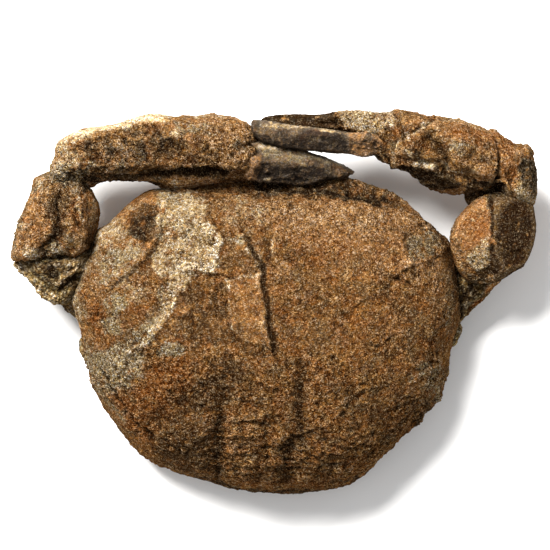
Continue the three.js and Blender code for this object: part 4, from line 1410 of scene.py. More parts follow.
LEFT_ARM = Arm((
    Piece(
        "left_ischium", "crusty_matrix", CRUSTY_MATRIX,
        Lump(
            centre=(-67, 0.6), rim=12, crown=19, base=6,
            outline=(
                (-73, 2.2), (-71.3, -1.5), (-68.3, -3.8), (-64, -6.8), (-61, -5.2), (-60, 0.8), (-62.3, 5.5),
                (-66.3, 6.8), (-71, 5.5),
            ),
        ),
        Skin(0.3, 0.25, 0.3, seed=31),
        stains_and_painted_light=(
            StainAndPaintedLight(Tint.CHAR, 0.7, Patch(box(-78, -57, -10, 10), 4)),
            StainAndPaintedLight(Tint.TAN, 0.8, Spot((-66.7, 1), (5, 5))),
        ),
    ),
    Piece(
        "left_merus", "crusty_matrix", CRUSTY_MATRIX,
        Lump(
            centre=(-75, 9), rim=20, crown=33, base=9,
            outline=(
                (-87.3, 13.5), (-86, 10.5), (-82.3, 6.8), (-78.3, 2.8), (-74.3, 0.5), (-71, -0.2),
                (-67.3, 1.5),
                (-65, 5.8), (-63.2, 10.8), (-60.6, 16.4), (-66.3, 18), (-76.7, 16.5), (-82.3, 16.2),
            ),
            facets=(Facet((-80, 8, 27), (-0.4, -0.3, 0.86)), Facet((-70, 8, 30), (0.3, -0.3, 0.9))),
        ),
        Skin(1.1, 0.36, 0.6, 0.55, 0.6, seed=32),
        relief=(
            Relief(Streak(((-72.3, 6.5), (-69.7, 8.5), (-67, 11.2)), 0.9), 1.1),
            Relief(Streak(((-71.7, 4.2), (-69, 5.8), (-66.3, 8.5)), 1.1), -1.6),
            Relief(Spot((-77, 11.5), (2.4, 4), 15), 1.6),
            Relief(Spot((-73.3, 8.2), (2, 2.4), 15), -1.4),
            Relief(Spot((-80, 13.5), (2.2, 1.6), 15), -1.2),
            Relief(Streak(((-78.3, 13.5), (-73.3, 14.8), (-66.7, 15.5)), 1.3), -1.2),
            Relief(Streak(((-79.7, 12.8), (-78.3, 10.2), (-75.7, 7.5)), 0.8), 0.7),
        ),
        stains_and_painted_light=(
            StainAndPaintedLight(Tint.CHAR, 1.1, Patch((
                (-79.7, 12.2), (-76.3, 13.8), (-71, 14.8), (-69.7, 12.8), (-74.3, 8.8), (-77.7, 10.2),
            ), 1.6)),
            StainAndPaintedLight(Tint.PALE, 0.7, Spot((-66.5, 12), (4, 4))),
            StainAndPaintedLight(Tint.CHAR, 0.98, Streak(((-71.7, 4.2), (-69, 5.8), (-66.3, 8.5)), 1.6)),
            StainAndPaintedLight(Tint.PALE, 0.4, Streak(((-72.3, 6.5), (-69.7, 8.5), (-67, 11.2)), 0.9)),
            StainAndPaintedLight(Tint.GREY, 0.7, Spot((-80.3, 10.8), (3, 6), 30)),
            StainAndPaintedLight(Tint.GREY, 0.5, Spot((-71, 13.5), (5, 4))),
            StainAndPaintedLight(Tint.PALE, 0.5, Streak(((-86, 13.5), (-81, 6.8), (-73.3, 1.2)), 1.8)),
        ),
    ),
    Piece(
        "left_carpus", "arm_shell", ARM_SHELL,
        Lump(
            centre=(-73.3, 28), rim=25, crown=40, base=12,
            outline=(
                (-77.7, 42.8), (-80.3, 40.8), (-82.3, 35.8), (-84.7, 29.8), (-86.3, 22.8), (-87.7, 16.2),
                (-86.5, 13.8), (-80, 14.5), (-71.7, 15.5), (-64.3, 16.2), (-61.3, 19.8), (-59.7, 24.8),
                (-58.7, 31.8), (-60, 35.8), (-61.7, 38.8), (-65.7, 41.5), (-71.7, 43.2),
            ),
            facets=(
                Facet((-81, 28, 35.5), (-0.45, 0, 0.9), 0.5), Facet((-66, 28, 37), (0.45, 0.1, 0.88), 0.5),
                Facet((-61.5, 28, 33), (0.8, 0.05, 0.6), 0.4),
            ),
        ),
        Skin(
            0.6, 0.24, 0.4, 0.42, 0.5, seed=33,
            rugged=(
                Streak(((-71.7, 37.5), (-71.7, 22.5), (-73.3, 15.8)), 5),
                Patch(((-78.3, 42.5), (-60, 41.5), (-60, 36.8), (-75, 38.2)), 3),
            ),
            calm=(Patch(((-62.3, 39.2), (-58.7, 32.5), (-59.7, 22.5), (-63, 20.8), (-63.7, 34.2)), 2),),
        ),
        relief=(
            Relief(Streak((
                (-72.3, 34.8), (-71.7, 29.2), (-72, 23.5), (-74.3, 19.5), (-77, 16.8),
            ), 2.0), -2.8),
            Relief(Streak(((-66.3, 38.2), (-65.7, 32.5), (-64.7, 26.8)), 0.8), 1.3),
            Relief(Streak(((-63.7, 18.8), (-68.3, 15.5), (-73.3, 13.5), (-77, 12.8)), 1.2), 0.9),
            Relief(Scarp(((-79.7, 13.5), (-76.3, 16.5), (-73, 18.8)), 3), 1.1),
            Relief(Scarp(((-63.3, 21.5), (-62.7, 29.2), (-63.3, 37.5)), 2.5, 0.6), 0.5),
        ),
        stains_and_painted_light=(
            StainAndPaintedLight(Tint.DARK, 1.1, Streak(((-72.3, 34.8), (-71.7, 29.2), (-72, 23.5), (-74.3, 19.5)), 2.2)),
            StainAndPaintedLight(Tint.CHAR, 0.84, Streak(((-72.3, 32.5), (-71.7, 28.2), (-72.7, 22.2)), 1.3)),
            StainAndPaintedLight(Tint.PALE, 0.8, Streak(((-66.3, 38.2), (-65.7, 32.5), (-64.7, 26.8)), 0.6)),
            StainAndPaintedLight(Tint.CREAM, 0.95, Patch((
                (-83.3, 19.8), (-80.3, 18.5), (-77.7, 14.8), (-80.7, 14.2), (-83.7, 16.8),
            ), 1.6)),
            StainAndPaintedLight(Tint.CREAM, 0.6, Streak(((-79, 13.5), (-76.3, 16.2), (-73, 18.8)), 0.7)),
            StainAndPaintedLight(Tint.PALE, 0.9, Spot((-73.5, 17), (5, 3), 20)),
            StainAndPaintedLight(Tint.PALE, 0.8, Spot((-82.3, 24.8), (2.2, 1.8))),
            StainAndPaintedLight(Tint.GREY, 0.9, Streak(((-79.7, 39.2), (-84.7, 29.2), (-87.3, 17.5)), 1.4)),
            StainAndPaintedLight(Tint.PALE, 0.55, Spot((-77, 38.8), (3, 5), 20)),
            StainAndPaintedLight(Tint.IRON, 0.5, Spot((-75, 36.8), (2, 4), 20)),
            StainAndPaintedLight(Tint.DARK, 0.35, Patch(box(-90, -55, 12, 46), 4)),
            StainAndPaintedLight(Tint.GREY, 1.2, Patch((
                (-77.7, 43.5), (-60, 42.2), (-59.7, 37.5), (-66.3, 36.2), (-72.3, 37.5), (-75, 39.5),
            ), 2)),
            StainAndPaintedLight(Tint.DARK, 0.7, Patch((
                (-70.3, 41.5), (-59.7, 41.5), (-59.7, 37.5), (-65, 35.5), (-69.7, 38.2),
            ), 3)),
            StainAndPaintedLight(Tint.TAN, 1.0, Patch((
                (-80.3, 34.2), (-75, 35.5), (-74.3, 25.8), (-77, 13.5), (-81.7, 14.2), (-83.7, 20.8),
            ), 2.5)),
            StainAndPaintedLight(Tint.TAN, 0.6, Patch((
                (-66.3, 35.5), (-59.7, 36.2), (-59.3, 29.2), (-61.7, 20.8), (-65, 20.8),
            ), 2)),
            StainAndPaintedLight(Tint.IRON, 0.5, Spot((-78.3, 24.8), (4, 8))),
            StainAndPaintedLight(Tint.GREY, 0.5, Patch((
                (-63, 38.8), (-59.3, 34.2), (-59.7, 24.8), (-61.7, 22.2), (-62.3, 32.5),
            ), 1.6)),
            StainAndPaintedLight(Tint.GREY, 0.5, Spot((-67.7, 20.8), (4, 3))),
            StainAndPaintedLight(Tint.DARK, 0.84, Spot((-61.7, 19.5), (2, 4))),
        ),
    ),
    Piece(
        "left_palm", "claw_shell", CLAW_SHELL,
        Limb(
            sections=(
                (-74.3, 46, 40.8, 36, 22), (-71.7, 53.8, 39.5, 41, 18), (-65, 57.8, 39.5, 43, 17),
                (-55, 59.3, 40.5, 44, 16), (-43.3, 62.2, 40.5, 44, 15), (-31.7, 61.8, 39.6, 44, 12),
                (-20, 62.3, 40.2, 43, 11), (-12.5, 60.8, 41, 41, 11.5), (-7.5, 57.5, 41, 37, 12),
                (-4, 52.2, 40.6, 23, 12.2), (5, 50.2, 41.5, 21, 12.5), (16.7, 47.8, 42.2, 19.5, 13.5),
                (22.5, 45.8, 42.8, 18, 15),
            ),
            end=3, square=2.5,
            facets=(
                Facet((-56, 57, 40), (-0.08, 0.66, 0.75), 0.4),
                Facet((-32, 59.5, 40.5), (0.05, 0.6, 0.8), 0.8),
                Facet((-40, 46, 41), (0.02, -0.3, 0.95), 0.5), Facet((-70, 50, 38.5), (-0.5, 0, 0.87), 0.4),
                Facet((-40, 42.5, 36), (0, -0.85, 0.5), 0.5),
            ),
        ),
        Skin(
            0.6, 0.2, 0.42, 0.32, 0.34, seed=34,
            rugged=(
                Patch(box(-26, -4, 42, 60), 6), Patch(box(-78, -60, 36, 46), 3),
                Patch(box(-60, -44, 43, 53), 4),
            ),
            calm=(Patch(((-71.7, 53.2), (-55, 57.2), (-35.7, 60.5), (-35.7, 63.5), (-71.7, 58.2)), 2),),
        ),
        relief=(
            Relief(Streak(((-53, 40.6), (-41.7, 41.6), (-33, 43), (-25, 43.4), (-17, 43)), 1.2), -2.0),
            Relief(Scarp(((-66, 51.8), (-55, 55.8), (-48, 57.6), (-36, 59)), 4, 0.5), 0.8),
            Relief(Scarp(((-64.3, 41.5), (-64.7, 50.8)), 3, 0.5), 0.6),
            Relief(Streak(((-12.3, 52.2), (-7.7, 52.5), (-2.3, 51.8)), 0.8), -1.0),
        ),
        bosses=(Boss((-32, 38.5, 22), (8, 4, 7), 3.2), Boss((-58, 40, 18), (6, 3, 5), 1.8)),
        stains_and_painted_light=(
            # partly the palm's pale shell, partly painted highlight: the upper front face, turned to the
            # lamp, is made pale and cream
            StainAndPaintedLight(Tint.PALE, 1.5, Patch((
                (-74.3, 50.8), (-68.3, 53.2), (-55, 56.5), (-49, 58.2), (-35, 59.5), (-34.3, 64.8),
                (-75, 62.5),
            ), 1.6)),
            StainAndPaintedLight(Tint.CREAM, 0.9, Patch(((-72, 53.8), (-55, 57.5), (-36, 60), (-36, 64.8), (-75, 62.5)), 2)),
            StainAndPaintedLight(Tint.TAN, 1.1, Patch(PALM_END, 1.8)),
            StainAndPaintedLight(Tint.PALE, 0.7, Patch(PALM_END, 1.8)),
            StainAndPaintedLight(Tint.GREY, 1.3, Patch(((-75, 45.5), (-61.7, 45.5), (-63, 36), (-77, 36)), 2)),
            # painted shade: near-black along the palm's undercut lower edge
            StainAndPaintedLight(Tint.CHAR, 1.8, Streak((
                (-61, 41.5), (-51.7, 41), (-41.7, 41.8), (-33, 43), (-25, 43.4), (-17, 43),
            ), 1.4)),
            StainAndPaintedLight(Tint.CHAR, 0.6, Patch((
                (-64.3, 52.5), (-55, 55.2), (-52.3, 50.8), (-57, 48.2), (-59, 44.2), (-63.7, 45.5),
            ), 2.5)),
            StainAndPaintedLight(Tint.CHAR, 0.6, Patch((
                (-54.3, 56.2), (-41.7, 57.5), (-30, 55.2), (-27, 50.2), (-38.7, 47.2), (-51.7, 42.5),
                (-58.3, 42.8), (-48.3, 50.2),
            ), 4)),
            StainAndPaintedLight(Tint.DARK, 0.4, Patch((
                (-63.7, 53.5), (-23.3, 58.2), (-21, 45.8), (-28.3, 43.2), (-63, 41.5),
            ), 3)),
            StainAndPaintedLight(Tint.TAN, 1.3, Patch((
                (-37, 41.2), (-28.3, 41.8), (-18, 41.2), (-21, 37), (-28, 35), (-34, 37),
            ), 1.2)),
            StainAndPaintedLight(Tint.PALE, 0.5, Patch((
                (-36, 40.2), (-28.3, 40.8), (-20, 40.2), (-21, 37), (-28, 35), (-34, 37),
            ), 1.2)),
            StainAndPaintedLight(Tint.TAN, 1.2, Patch((
                (-57, 50.8), (-51, 52.2), (-44.3, 50.2), (-46.3, 45.5), (-52.3, 44.8), (-57, 46.8),
            ), 3)),
            StainAndPaintedLight(Tint.PALE, 0.6, Streak(((-63.7, 47.5), (-58.3, 44.8), (-48.3, 43.5)), 0.8)),
            StainAndPaintedLight(Tint.PALE, 0.3, Patch((
                (-57, 50.8), (-51, 52.2), (-44.3, 51.5), (-43, 47), (-46.3, 45.5), (-52.3, 44.8),
                (-57, 46.8),
            ), 2)),
            StainAndPaintedLight(Tint.PALE, 0.4, Patch(((-72, 46), (-63, 46), (-63, 42), (-72, 42)), 2)),
            StainAndPaintedLight(Tint.PALE, 0.3, Spot((-13.3, 52), (6, 5))),
            StainAndPaintedLight(Tint.GREY, 0.6, Patch((
                (-34.3, 59.5), (-20.3, 59.5), (-16.3, 56.2), (-25, 54.2), (-33, 55.5),
            ), 2.4)),
            StainAndPaintedLight(Tint.CREAM, 0.95, Spot((-33.3, 56.2), (1.5, 1.0), -10, 3)),
            StainAndPaintedLight(Tint.TAN, 0.7, Patch((
                (-29.7, 60.2), (-20.3, 63.5), (-9.7, 62.2), (-4.3, 50.8), (-9, 42.2), (-23.3, 43.5),
                (-21, 52.2),
            ), 5)),
            StainAndPaintedLight(Tint.CHAR, 0.84, Streak(((-13, 52.2), (-7.7, 52.5), (-2.3, 51.8)), 1.4)),
            StainAndPaintedLight(Tint.PALE, 0.6, Spot((-25, 62.2), (14, 1.8))),
            StainAndPaintedLight(Tint.IRON, 0.5, Spot((-28.3, 38.8), (6, 3))),
            StainAndPaintedLight(Tint.CHAR, 1.1, Patch(box(-4, 24, 38, 54), 2)),
        ),
    ),
    Piece(
        "left_movable_finger", "finger_shell", FINGER_SHELL,
        Limb(
            sections=(
                (-11.7, 53.2, 43.5, 37, 25), (-6.7, 53.8, 41.2, 38, 23), (0, 52.5, 40.2, 37.5, 22),
                (8.3, 51, 39.5, 36, 21.5), (16.7, 48.5, 40.8, 33, 21), (22.3, 46.2, 41.5, 30, 21.5),
                (26.3, 44, 43.2, 26.5, 24),
            ),
            end=2, square=2.4,
            facets=(
                Facet((0, 49, 36.2), (0.04, 0.3, 0.95), 0.3),
                Facet((0, 46.8, 36.4), (0.05, -0.62, 0.78), 0.3),
                Facet((16, 46, 32.6), (0.3, -0.25, 0.92), 0.5),
            ),
        ),
        Skin(
            0.3, 0.17, 0.2, 0.3, 0.3, seed=35,
            rugged=(Spot((-8, 45), (5, 6)), Streak(((-6.7, 41.5), (21.7, 40.8)), 2.5)),
        ),
        relief=(
            Relief(Spot((-7.7, 44.8), (3.2, 4.4), 0, 3), 1.5),
            Relief(Streak(((-4.3, 50.2), (8.3, 49.5), (20, 45.5)), 0.5), -0.4),
            Relief(Streak(((-1.7, 48.2), (11.7, 47.5), (21.7, 44.2)), 0.5), -0.4),
        ),
        stains_and_painted_light=(
            StainAndPaintedLight(Tint.TAN, 1.2, Patch((
                (-11.7, 50.8), (-6.3, 48.8), (-4.3, 44.8), (-6.3, 39.5), (-11, 40.2),
            ), 2)),
            # painted shade: near-black over the finger's back face, turned from the lamp
            StainAndPaintedLight(Tint.CHAR, 1.3, Patch((
                (-6.3, 46.2), (5, 45.8), (16.7, 44.2), (21.7, 41.5), (15, 38.2), (-6.3, 38.8),
            ), 1.2)),
            StainAndPaintedLight(Tint.GREY, 0.9, Patch((
                (-6, 53.5), (8.3, 51.8), (20, 47.8), (24, 44.8), (12, 46.8), (-4.3, 47.8),
            ), 2)),
            StainAndPaintedLight(Tint.PALE, 0.6, Streak(((-6, 50.8), (6.7, 50.6), (17, 47.6)), 0.8)),
            StainAndPaintedLight(Tint.CREAM, 0.8, Spot((-2.3, 41.5), (1.3, 0.8))),
            StainAndPaintedLight(Tint.IRON, 0.9, Spot((7, 41.2), (1.8, 0.9))),
            StainAndPaintedLight(Tint.IRON, 0.6, Spot((15.7, 43.5), (1.8, 0.7))),
            StainAndPaintedLight(Tint.IRON, 0.7, Streak(((-5.7, 42.2), (-3, 40.8), (-0.3, 39.8)), 0.7)),
            StainAndPaintedLight(Tint.PALE, 0.7, Spot((9.7, 45.8), (1.0, 0.8))),
            StainAndPaintedLight(Tint.CREAM, 0.5, Spot((2.3, 42.8), (0.8, 0.6))),
        ),
    ),
))

RIGHT_ARM = Arm((
    Piece(
        "right_ischium", "crusty_matrix", CRUSTY_MATRIX,
        Lump(
            centre=(66, 2.5), rim=12, crown=19, base=6,
            outline=(
                (58.6, 13.5), (57.5, 6.5), (58.5, -0.8), (61, -6.5), (63.7, -4.8), (67, -1.5), (70.7, 1.5),
                (74, 5.5), (76, 7.8),
                (71.7, 10.8), (65, 11.5),
            ),
        ),
        Skin(0.4, 0.22, 0.35, seed=41),
        stains_and_painted_light=(
            StainAndPaintedLight(Tint.CHAR, 1, Patch(((60, 10.8), (75, 9.2), (68.3, 2.5), (62.3, -4.2), (59, -5.8)), 4)),
            StainAndPaintedLight(Tint.IRON, 0.7, Streak(((63.7, -3.5), (69.7, 1.8), (75.7, 7.5)), 1.4)),
        ),
    ),
    Piece(
        "right_merus", "arm_shell", ARM_SHELL,
        Lump(
            centre=(73, 21.5), rim=22, crown=38, base=9,
            outline=(
                (66.3, 34.2), (62.3, 30.2), (59.8, 26.2), (58.6, 21.5), (59.2, 16.2), (61.4, 10.8), (65.2, 7),
                (70.3, 6.2), (75.3, 7.5), (79.7, 10.2), (83.7, 13.2), (85.7, 17.5), (87, 23.5), (86.7, 29.5),
                (85.3, 33.8), (80.3, 37.2), (75, 37.8), (70.3, 36.5),
            ),
            facets=(
                Facet((66, 24, 34.2), (-0.42, 0.08, 0.9), 0.25),
                Facet((79, 22, 33), (0.52, -0.1, 0.85), 0.25),
                Facet((68, 14, 32.5), (-0.25, -0.5, 0.83), 0.5),
            ),
            top=Dome(3.4, 2.6),
        ),
        Skin(
            0.3, 0.15, 0.22, 0.28, 0.3, seed=42,
            calm=(Patch((
                (64, 33.5), (86.7, 36.8), (88.3, 13.5), (71.3, 11.5), (71.3, 24.5), (68, 19.2),
                (63.3, 15.2), (60, 19.2), (59.7, 24.5), (61.3, 30.2),
            ), 1.5),),
        ),
        relief=(
            Relief(Streak(((71.9, 34.2), (71.9, 25.8), (72, 17.5)), 0.6), -1.1),
            Relief(Scarp(((81.3, 18.2), (77.7, 18.5), (74, 20.8)), 3), 1.1),
            Relief(Streak(((81.7, 17.2), (77.7, 17.5), (73.7, 19.8)), 0.8), -1.0),
            Relief(Scarp(((70.3, 19.5), (67.7, 15.8), (66.3, 12.2)), 2.5), 0.7),
            Relief(Scarp(((63.3, 14.8), (68.3, 18.8), (71.3, 24.2)), 2, 0.5), -0.5),
        ),
        stains_and_painted_light=(
            StainAndPaintedLight(Tint.TAN, 0.5, Patch((
                (64, 33.5), (71.3, 35.5), (71.3, 24.5), (68, 19.2), (63.3, 15.2), (60, 19.2), (59.7, 24.5),
                (61.3, 30.2),
            ), 1.5)),
            StainAndPaintedLight(Tint.IRON, 0.5, Patch((
                (64, 33.5), (71.3, 35.5), (71.3, 24.5), (68, 19.2), (63.3, 17.2), (61.3, 24.5),
            ), 1.5)),
            StainAndPaintedLight(Tint.CREAM, 0.35, Streak(((65.3, 28), (66, 27.6)), 0.4)),
            StainAndPaintedLight(Tint.CREAM, 0.35, Streak(((67.3, 29.8), (68, 31.6)), 0.4)),
            StainAndPaintedLight(Tint.CREAM, 0.35, Streak(((66.3, 25.8), (67.6, 25)), 0.4)),
            StainAndPaintedLight(Tint.CREAM, 0.5, Streak(((71, 35.2), (71, 30.2), (70.7, 24.8)), 0.35)),
            StainAndPaintedLight(Tint.DARK, 0.9, Streak(((60.5, 21), (61, 16), (63, 11)), 1.2)),
            StainAndPaintedLight(Tint.PALE, 0.9, Patch((
                (71.3, 24.2), (72, 12.2), (66.3, 10.8), (63, 14.8), (68, 18.5),
            ), 1.8)),
            StainAndPaintedLight(Tint.CHAR, 1.9, Patch((
                (72, 36), (85, 38), (91, 24.2), (86, 10.5), (75, 4.5), (72.3, 11.5),
            ), 1.4)),
            StainAndPaintedLight(Tint.CHAR, 2.0, Streak(((71.7, 34.8), (71.7, 25.8), (72, 17.5)), 0.6)),
            StainAndPaintedLight(Tint.IRON, 0.95, Streak(((74, 20.8), (77.7, 18.8), (81.3, 18.8)), 1.2)),
            StainAndPaintedLight(Tint.CREAM, 0.5, Streak(((74, 21.5), (77.7, 19.5), (81.3, 19.5)), 0.4)),
            StainAndPaintedLight(Tint.IRON, 0.6, Spot((75, 25.8), (1.6, 4), 10)),
            StainAndPaintedLight(Tint.IRON, 0.5, Spot((80, 13.5), (4, 2), 30)),
            StainAndPaintedLight(Tint.GREY, 0.6, Patch(((70.7, 37.5), (79, 37.8), (81.7, 35.5), (71.7, 33.8)), 1)),
            StainAndPaintedLight(Tint.CHAR, 1.3, Patch((
                (63.7, 10.2), (70.3, 12.2), (79, 10.2), (75, 4.8), (64.3, 5.5),
            ), 1.6)),
        ),
    ),
    Piece(
        "right_carpus", "arm_shell", ARM_SHELL,
        Lump(
            centre=(79, 42.5), rim=24, crown=38, base=12,
            outline=(
                (72, 57.2), (76.7, 54.8), (81.7, 52.5), (85, 51.7), (86.3, 48.2), (87.5, 43.5), (87.7, 37.5),
                (86.8, 32.8), (81.7, 32.2), (75, 33.2), (69, 33.5), (65, 33.2), (63.7, 35.8), (64.3, 38.8),
                (69, 40.8), (71, 48),
            ),
            facets=(
                Facet((83, 43, 34), (0.5, 0.1, 0.86), 0.4), Facet((74, 50, 36.5), (-0.2, 0.3, 0.93), 0.5),
            ),
        ),
        Skin(0.5, 0.24, 0.42, 0.4, 0.5, seed=43),
        relief=(
            Relief(Spot((84, 51.2), (1.9, 1.3)), 1.5),
            Relief(Streak(((76.3, 43.5), (79, 39.5), (79.3, 34.2)), 1.1), -1.3),
            Relief(Spot((77.7, 45.8), (2.4, 1.8), 30), 1.0),
            Relief(Patch(((61.7, 41.5), (73, 41.5), (76.3, 38.2), (75, 32.2), (62.3, 32.2)), 3), -3.5),
        ),
        stains_and_painted_light=(
            StainAndPaintedLight(Tint.IRON, 0.7, Patch(((73, 56), (79.7, 53.2), (80.3, 42.2), (76, 40.2), (73, 47.5)), 2)),
            StainAndPaintedLight(Tint.TAN, 0.6, Patch((
                (76, 53.5), (81.7, 52.2), (83, 47.5), (79, 45.5), (75.7, 47.5),
            ), 2.5)),
            StainAndPaintedLight(Tint.GREY, 1.2, Patch((
                (81, 47.5), (88.3, 48.2), (89, 32.5), (79.7, 32.5), (80.3, 40.8),
            ), 3)),
            StainAndPaintedLight(Tint.CHAR, 1.2, Patch(((80.3, 46.5), (86, 48.5), (89, 42.2), (88, 34), (82.7, 36.8)), 3)),
            StainAndPaintedLight(Tint.PALE, 0.7, Spot((80.3, 40.2), (2.2, 1.6))),
            StainAndPaintedLight(Tint.CREAM, 0.6, Spot((81.7, 38.8), (0.8, 1.2))),
            # painted shadow: near-black in the hollow under the right palm
            StainAndPaintedLight(Tint.CHAR, 3.0, Patch((
                (61.7, 41.5), (73, 41.5), (77.3, 38.2), (76, 32.2), (62.3, 32.2),
            ), 1.6)),
        ),
    ),
    Piece(
        "right_palm", "claw_shell", CLAW_SHELL,
        Limb(
            sections=(
                (-5, 61.8, 59, 31, 22), (0, 62.3, 58.8, 32, 21), (8.3, 62.4, 58.2, 32.5, 20),
                (16.7, 63, 57.2, 33, 19), (23.3, 64, 56.5, 36, 18), (29, 63.7, 54.2, 38, 17),
                (35, 63, 48.2, 40, 16), (40.3, 63.7, 45.2, 42, 15), (45.7, 63.4, 43.2, 43, 15),
                (51.7, 61.5, 38.5, 44, 14), (60, 60.7, 36.5, 44, 14), (66.7, 58.8, 37.5, 43, 14),
                (71.7, 57, 38.5, 42, 15), (75.3, 52.5, 43.5, 39, 18),
            ),
            end=2.5, square=2.6,
            facets=(
                Facet((51.7, 47.5, 40.8), (-0.2, -0.8, 0.55), 0.3),
                Facet((29, 58, 37.2), (-0.35, -0.1, 0.93), 0.4),
                Facet((70, 50, 40.6), (0.3, 0.05, 0.95), 0.4), Facet((48, 51, 42), (-0.12, -0.2, 0.97), 0.3),
                Facet((55, 58.5, 42), (0.05, 0.4, 0.9), 0.4),
            ),
        ),
        Skin(0.6, 0.18, 0.36, 0.32, 0.4, seed=44, rugged=(Patch((
            (19, 63.5), (39, 63.5), (41, 54.2), (23.3, 50.8),
        ), 4),), calm=(Patch(box(-9, 19, 54, 67), 3),)),
        relief=(
            Relief(Scarp(((54, 60.2), (50, 58.2), (45, 55.8), (41.7, 53.8), (40.3, 50.8)), 8, 0.5), 1.9),
            Relief(Streak(((41.7, 50.8), (43, 54.2), (46.3, 56.2), (51, 58.8)), 0.9), -1.2),
            Relief(Streak(((51.7, 54.8), (54, 51.5), (57, 46.8)), 2.0), -2.6),
            Relief(Scarp(((62.3, 41.8), (57, 43.8), (51.7, 46.2), (45.7, 47.5), (41.7, 48.8)), 6, 0.5), 2.0),
            Relief(Streak(((74.7, 54.5), (76, 50.5), (75.3, 47.5), (74, 44.2)), 0.8), -2.6),
            Relief(Spot((42.3, 63.2), (1.4, 1.4)), 1.2),
            Relief(Spot((69, 43.5), (3.2, 2.4)), 1.4),
            Relief(Spot((74, 44.8), (1.6, 1.5)), 1.0),
            Relief(Streak(((40, 63.2), (41.3, 58.2), (43, 55.2)), 0.9), -0.9),
            Relief(Streak(((15.7, 59.5), (19.7, 60.2), (21.7, 58.2)), 1.2), -1.6),
        ),
        stains_and_painted_light=(
            StainAndPaintedLight(Tint.CHAR, 2.4, Patch(((-8.3, 66.2), (19.7, 66.2), (19.7, 56.8), (-8.3, 56.2)), 1.2)),
            StainAndPaintedLight(Tint.GREY, 0.6, Patch(((-6, 62.2), (19.7, 62.2), (19.7, 60.2), (-6, 60.4)), 1)),
            StainAndPaintedLight(Tint.PALE, 1.0, Patch((
                (20.3, 64.8), (39, 64.8), (40.3, 60.2), (32.3, 56.2), (21.7, 58.2),
            ), 2.4)),
            StainAndPaintedLight(Tint.DARK, 0.84, Patch(((23, 58.2), (36.3, 57.5), (37.7, 50.8), (25, 49.5)), 3)),
            StainAndPaintedLight(Tint.CREAM, 0.95, Patch(((34.3, 61.2), (38.3, 61.8), (39.7, 58.8), (35.7, 57.8)), 1.4)),
            StainAndPaintedLight(Tint.IRON, 0.9, Spot((40, 57.2), (1.5, 2.0))),
            StainAndPaintedLight(Tint.CREAM, 0.8, Streak((
                (40.3, 51.5), (41.7, 54.2), (45, 55.8), (50, 58.2), (54, 59.8),
            ), 0.7)),
            StainAndPaintedLight(Tint.GREY, 0.7, Spot((39.3, 50.8), (2, 2.8))),
            StainAndPaintedLight(Tint.CREAM, 0.95, Spot((44.3, 49.8), (1.5, 1.1), -20, 3)),
            StainAndPaintedLight(Tint.CREAM, 1.1, Streak(((45.7, 48.2), (49.7, 47.5), (52.7, 46.5)), 0.7)),
            StainAndPaintedLight(Tint.PALE, 0.8, Streak(((52.7, 46.2), (57, 44.5), (61.7, 42.5)), 0.5)),
            StainAndPaintedLight(Tint.CHAR, 1.1, Spot((47.3, 50.2), (2.2, 1.4))),
            StainAndPaintedLight(Tint.TAN, 0.9, Patch((
                (50, 59.5), (65, 59.5), (75, 55.5), (74.3, 47.5), (68.3, 50.8), (60, 52.2), (55, 55.5),
            ), 4)),
            StainAndPaintedLight(Tint.DARK, 0.9, Streak(((51.7, 54.8), (53.7, 51.5), (56.3, 47.5)), 1.8)),
            StainAndPaintedLight(Tint.DARK, 0.5, Patch((
                (43, 54.2), (49.7, 56.2), (51.7, 50.8), (46.7, 48.8), (42.3, 50.2),
            ), 3)),
            StainAndPaintedLight(Tint.IRON, 0.8, Patch(((42.5, 53.5), (49.7, 56.2), (51.7, 50.8), (46.7, 50.2)), 2)),
            StainAndPaintedLight(Tint.GREY, 0.8, Patch(((59, 54.2), (66.7, 52.2), (65, 48.2), (58.3, 50.2)), 3)),
            # painted shade: near-black over the palm's undercut lower face
            StainAndPaintedLight(Tint.CHAR, 3.0, Patch((
                (36.3, 48.2), (41.7, 46.5), (46.7, 46.8), (51.7, 45.5), (59, 42.8), (61.3, 40.8),
                (57.3, 38.8), (54.3, 38.8), (50, 40.2), (43.3, 43.5),
            ), 1.6)),
            StainAndPaintedLight(Tint.TAN, 0.6, Patch(((53.7, 38.8), (62.3, 41.5), (62.3, 36.2), (55, 36.2)), 2)),
            StainAndPaintedLight(Tint.CHAR, 2.6, Streak(((74.7, 54.5), (76, 50.5), (75.3, 47.5), (74, 43.5)), 0.9)),
            StainAndPaintedLight(Tint.PALE, 0.4, Spot((66.7, 46.5), (6, 3))),
            # painted shadow: near-black in the hollow under the palm's right end
            StainAndPaintedLight(Tint.CHAR, 2.5, Patch(((63.5, 40), (72, 41), (75, 39), (74, 34), (63.5, 34)), 1.2)),
            # painted shadow: dark under the crust at the finger's base
            StainAndPaintedLight(Tint.CHAR, 1.4, Spot((33, 50.2), (5, 2), -10)),
            StainAndPaintedLight(Tint.IRON, 0.75, Patch(((53, 60.2), (75, 56.2), (75, 50.2), (61.7, 52.2)), 4)),
            StainAndPaintedLight(Tint.IRON, 0.45, Spot((45.7, 53.5), (3, 2.4), 30)),
            StainAndPaintedLight(Tint.GREY, 0.5, Streak(((55, 60.8), (65, 58.8), (71.7, 56.8)), 1.0)),
        ),
    ),
    Piece(
        "right_movable_finger", "finger_shell", FINGER_SHELL,
        Limb(
            sections=(
                (-7.7, 60.6, 56.5, 38.6, 27.5), (-4.3, 60.4, 53.2, 39.3, 27), (3.3, 59.5, 51.4, 40, 26),
                (11.7, 58.2, 50.7, 40.5, 25), (20, 57.2, 50.2, 41, 24), (26.7, 56.2, 49.2, 41, 23),
                (32.3, 55.5, 49.2, 40, 23), (37.7, 53.5, 50.8, 37, 25),
            ),
            end=0.8, square=3.0,
            facets=(
                Facet((10, 57.6, 38.6), (0.06, 0.6, 0.8), 0.3),
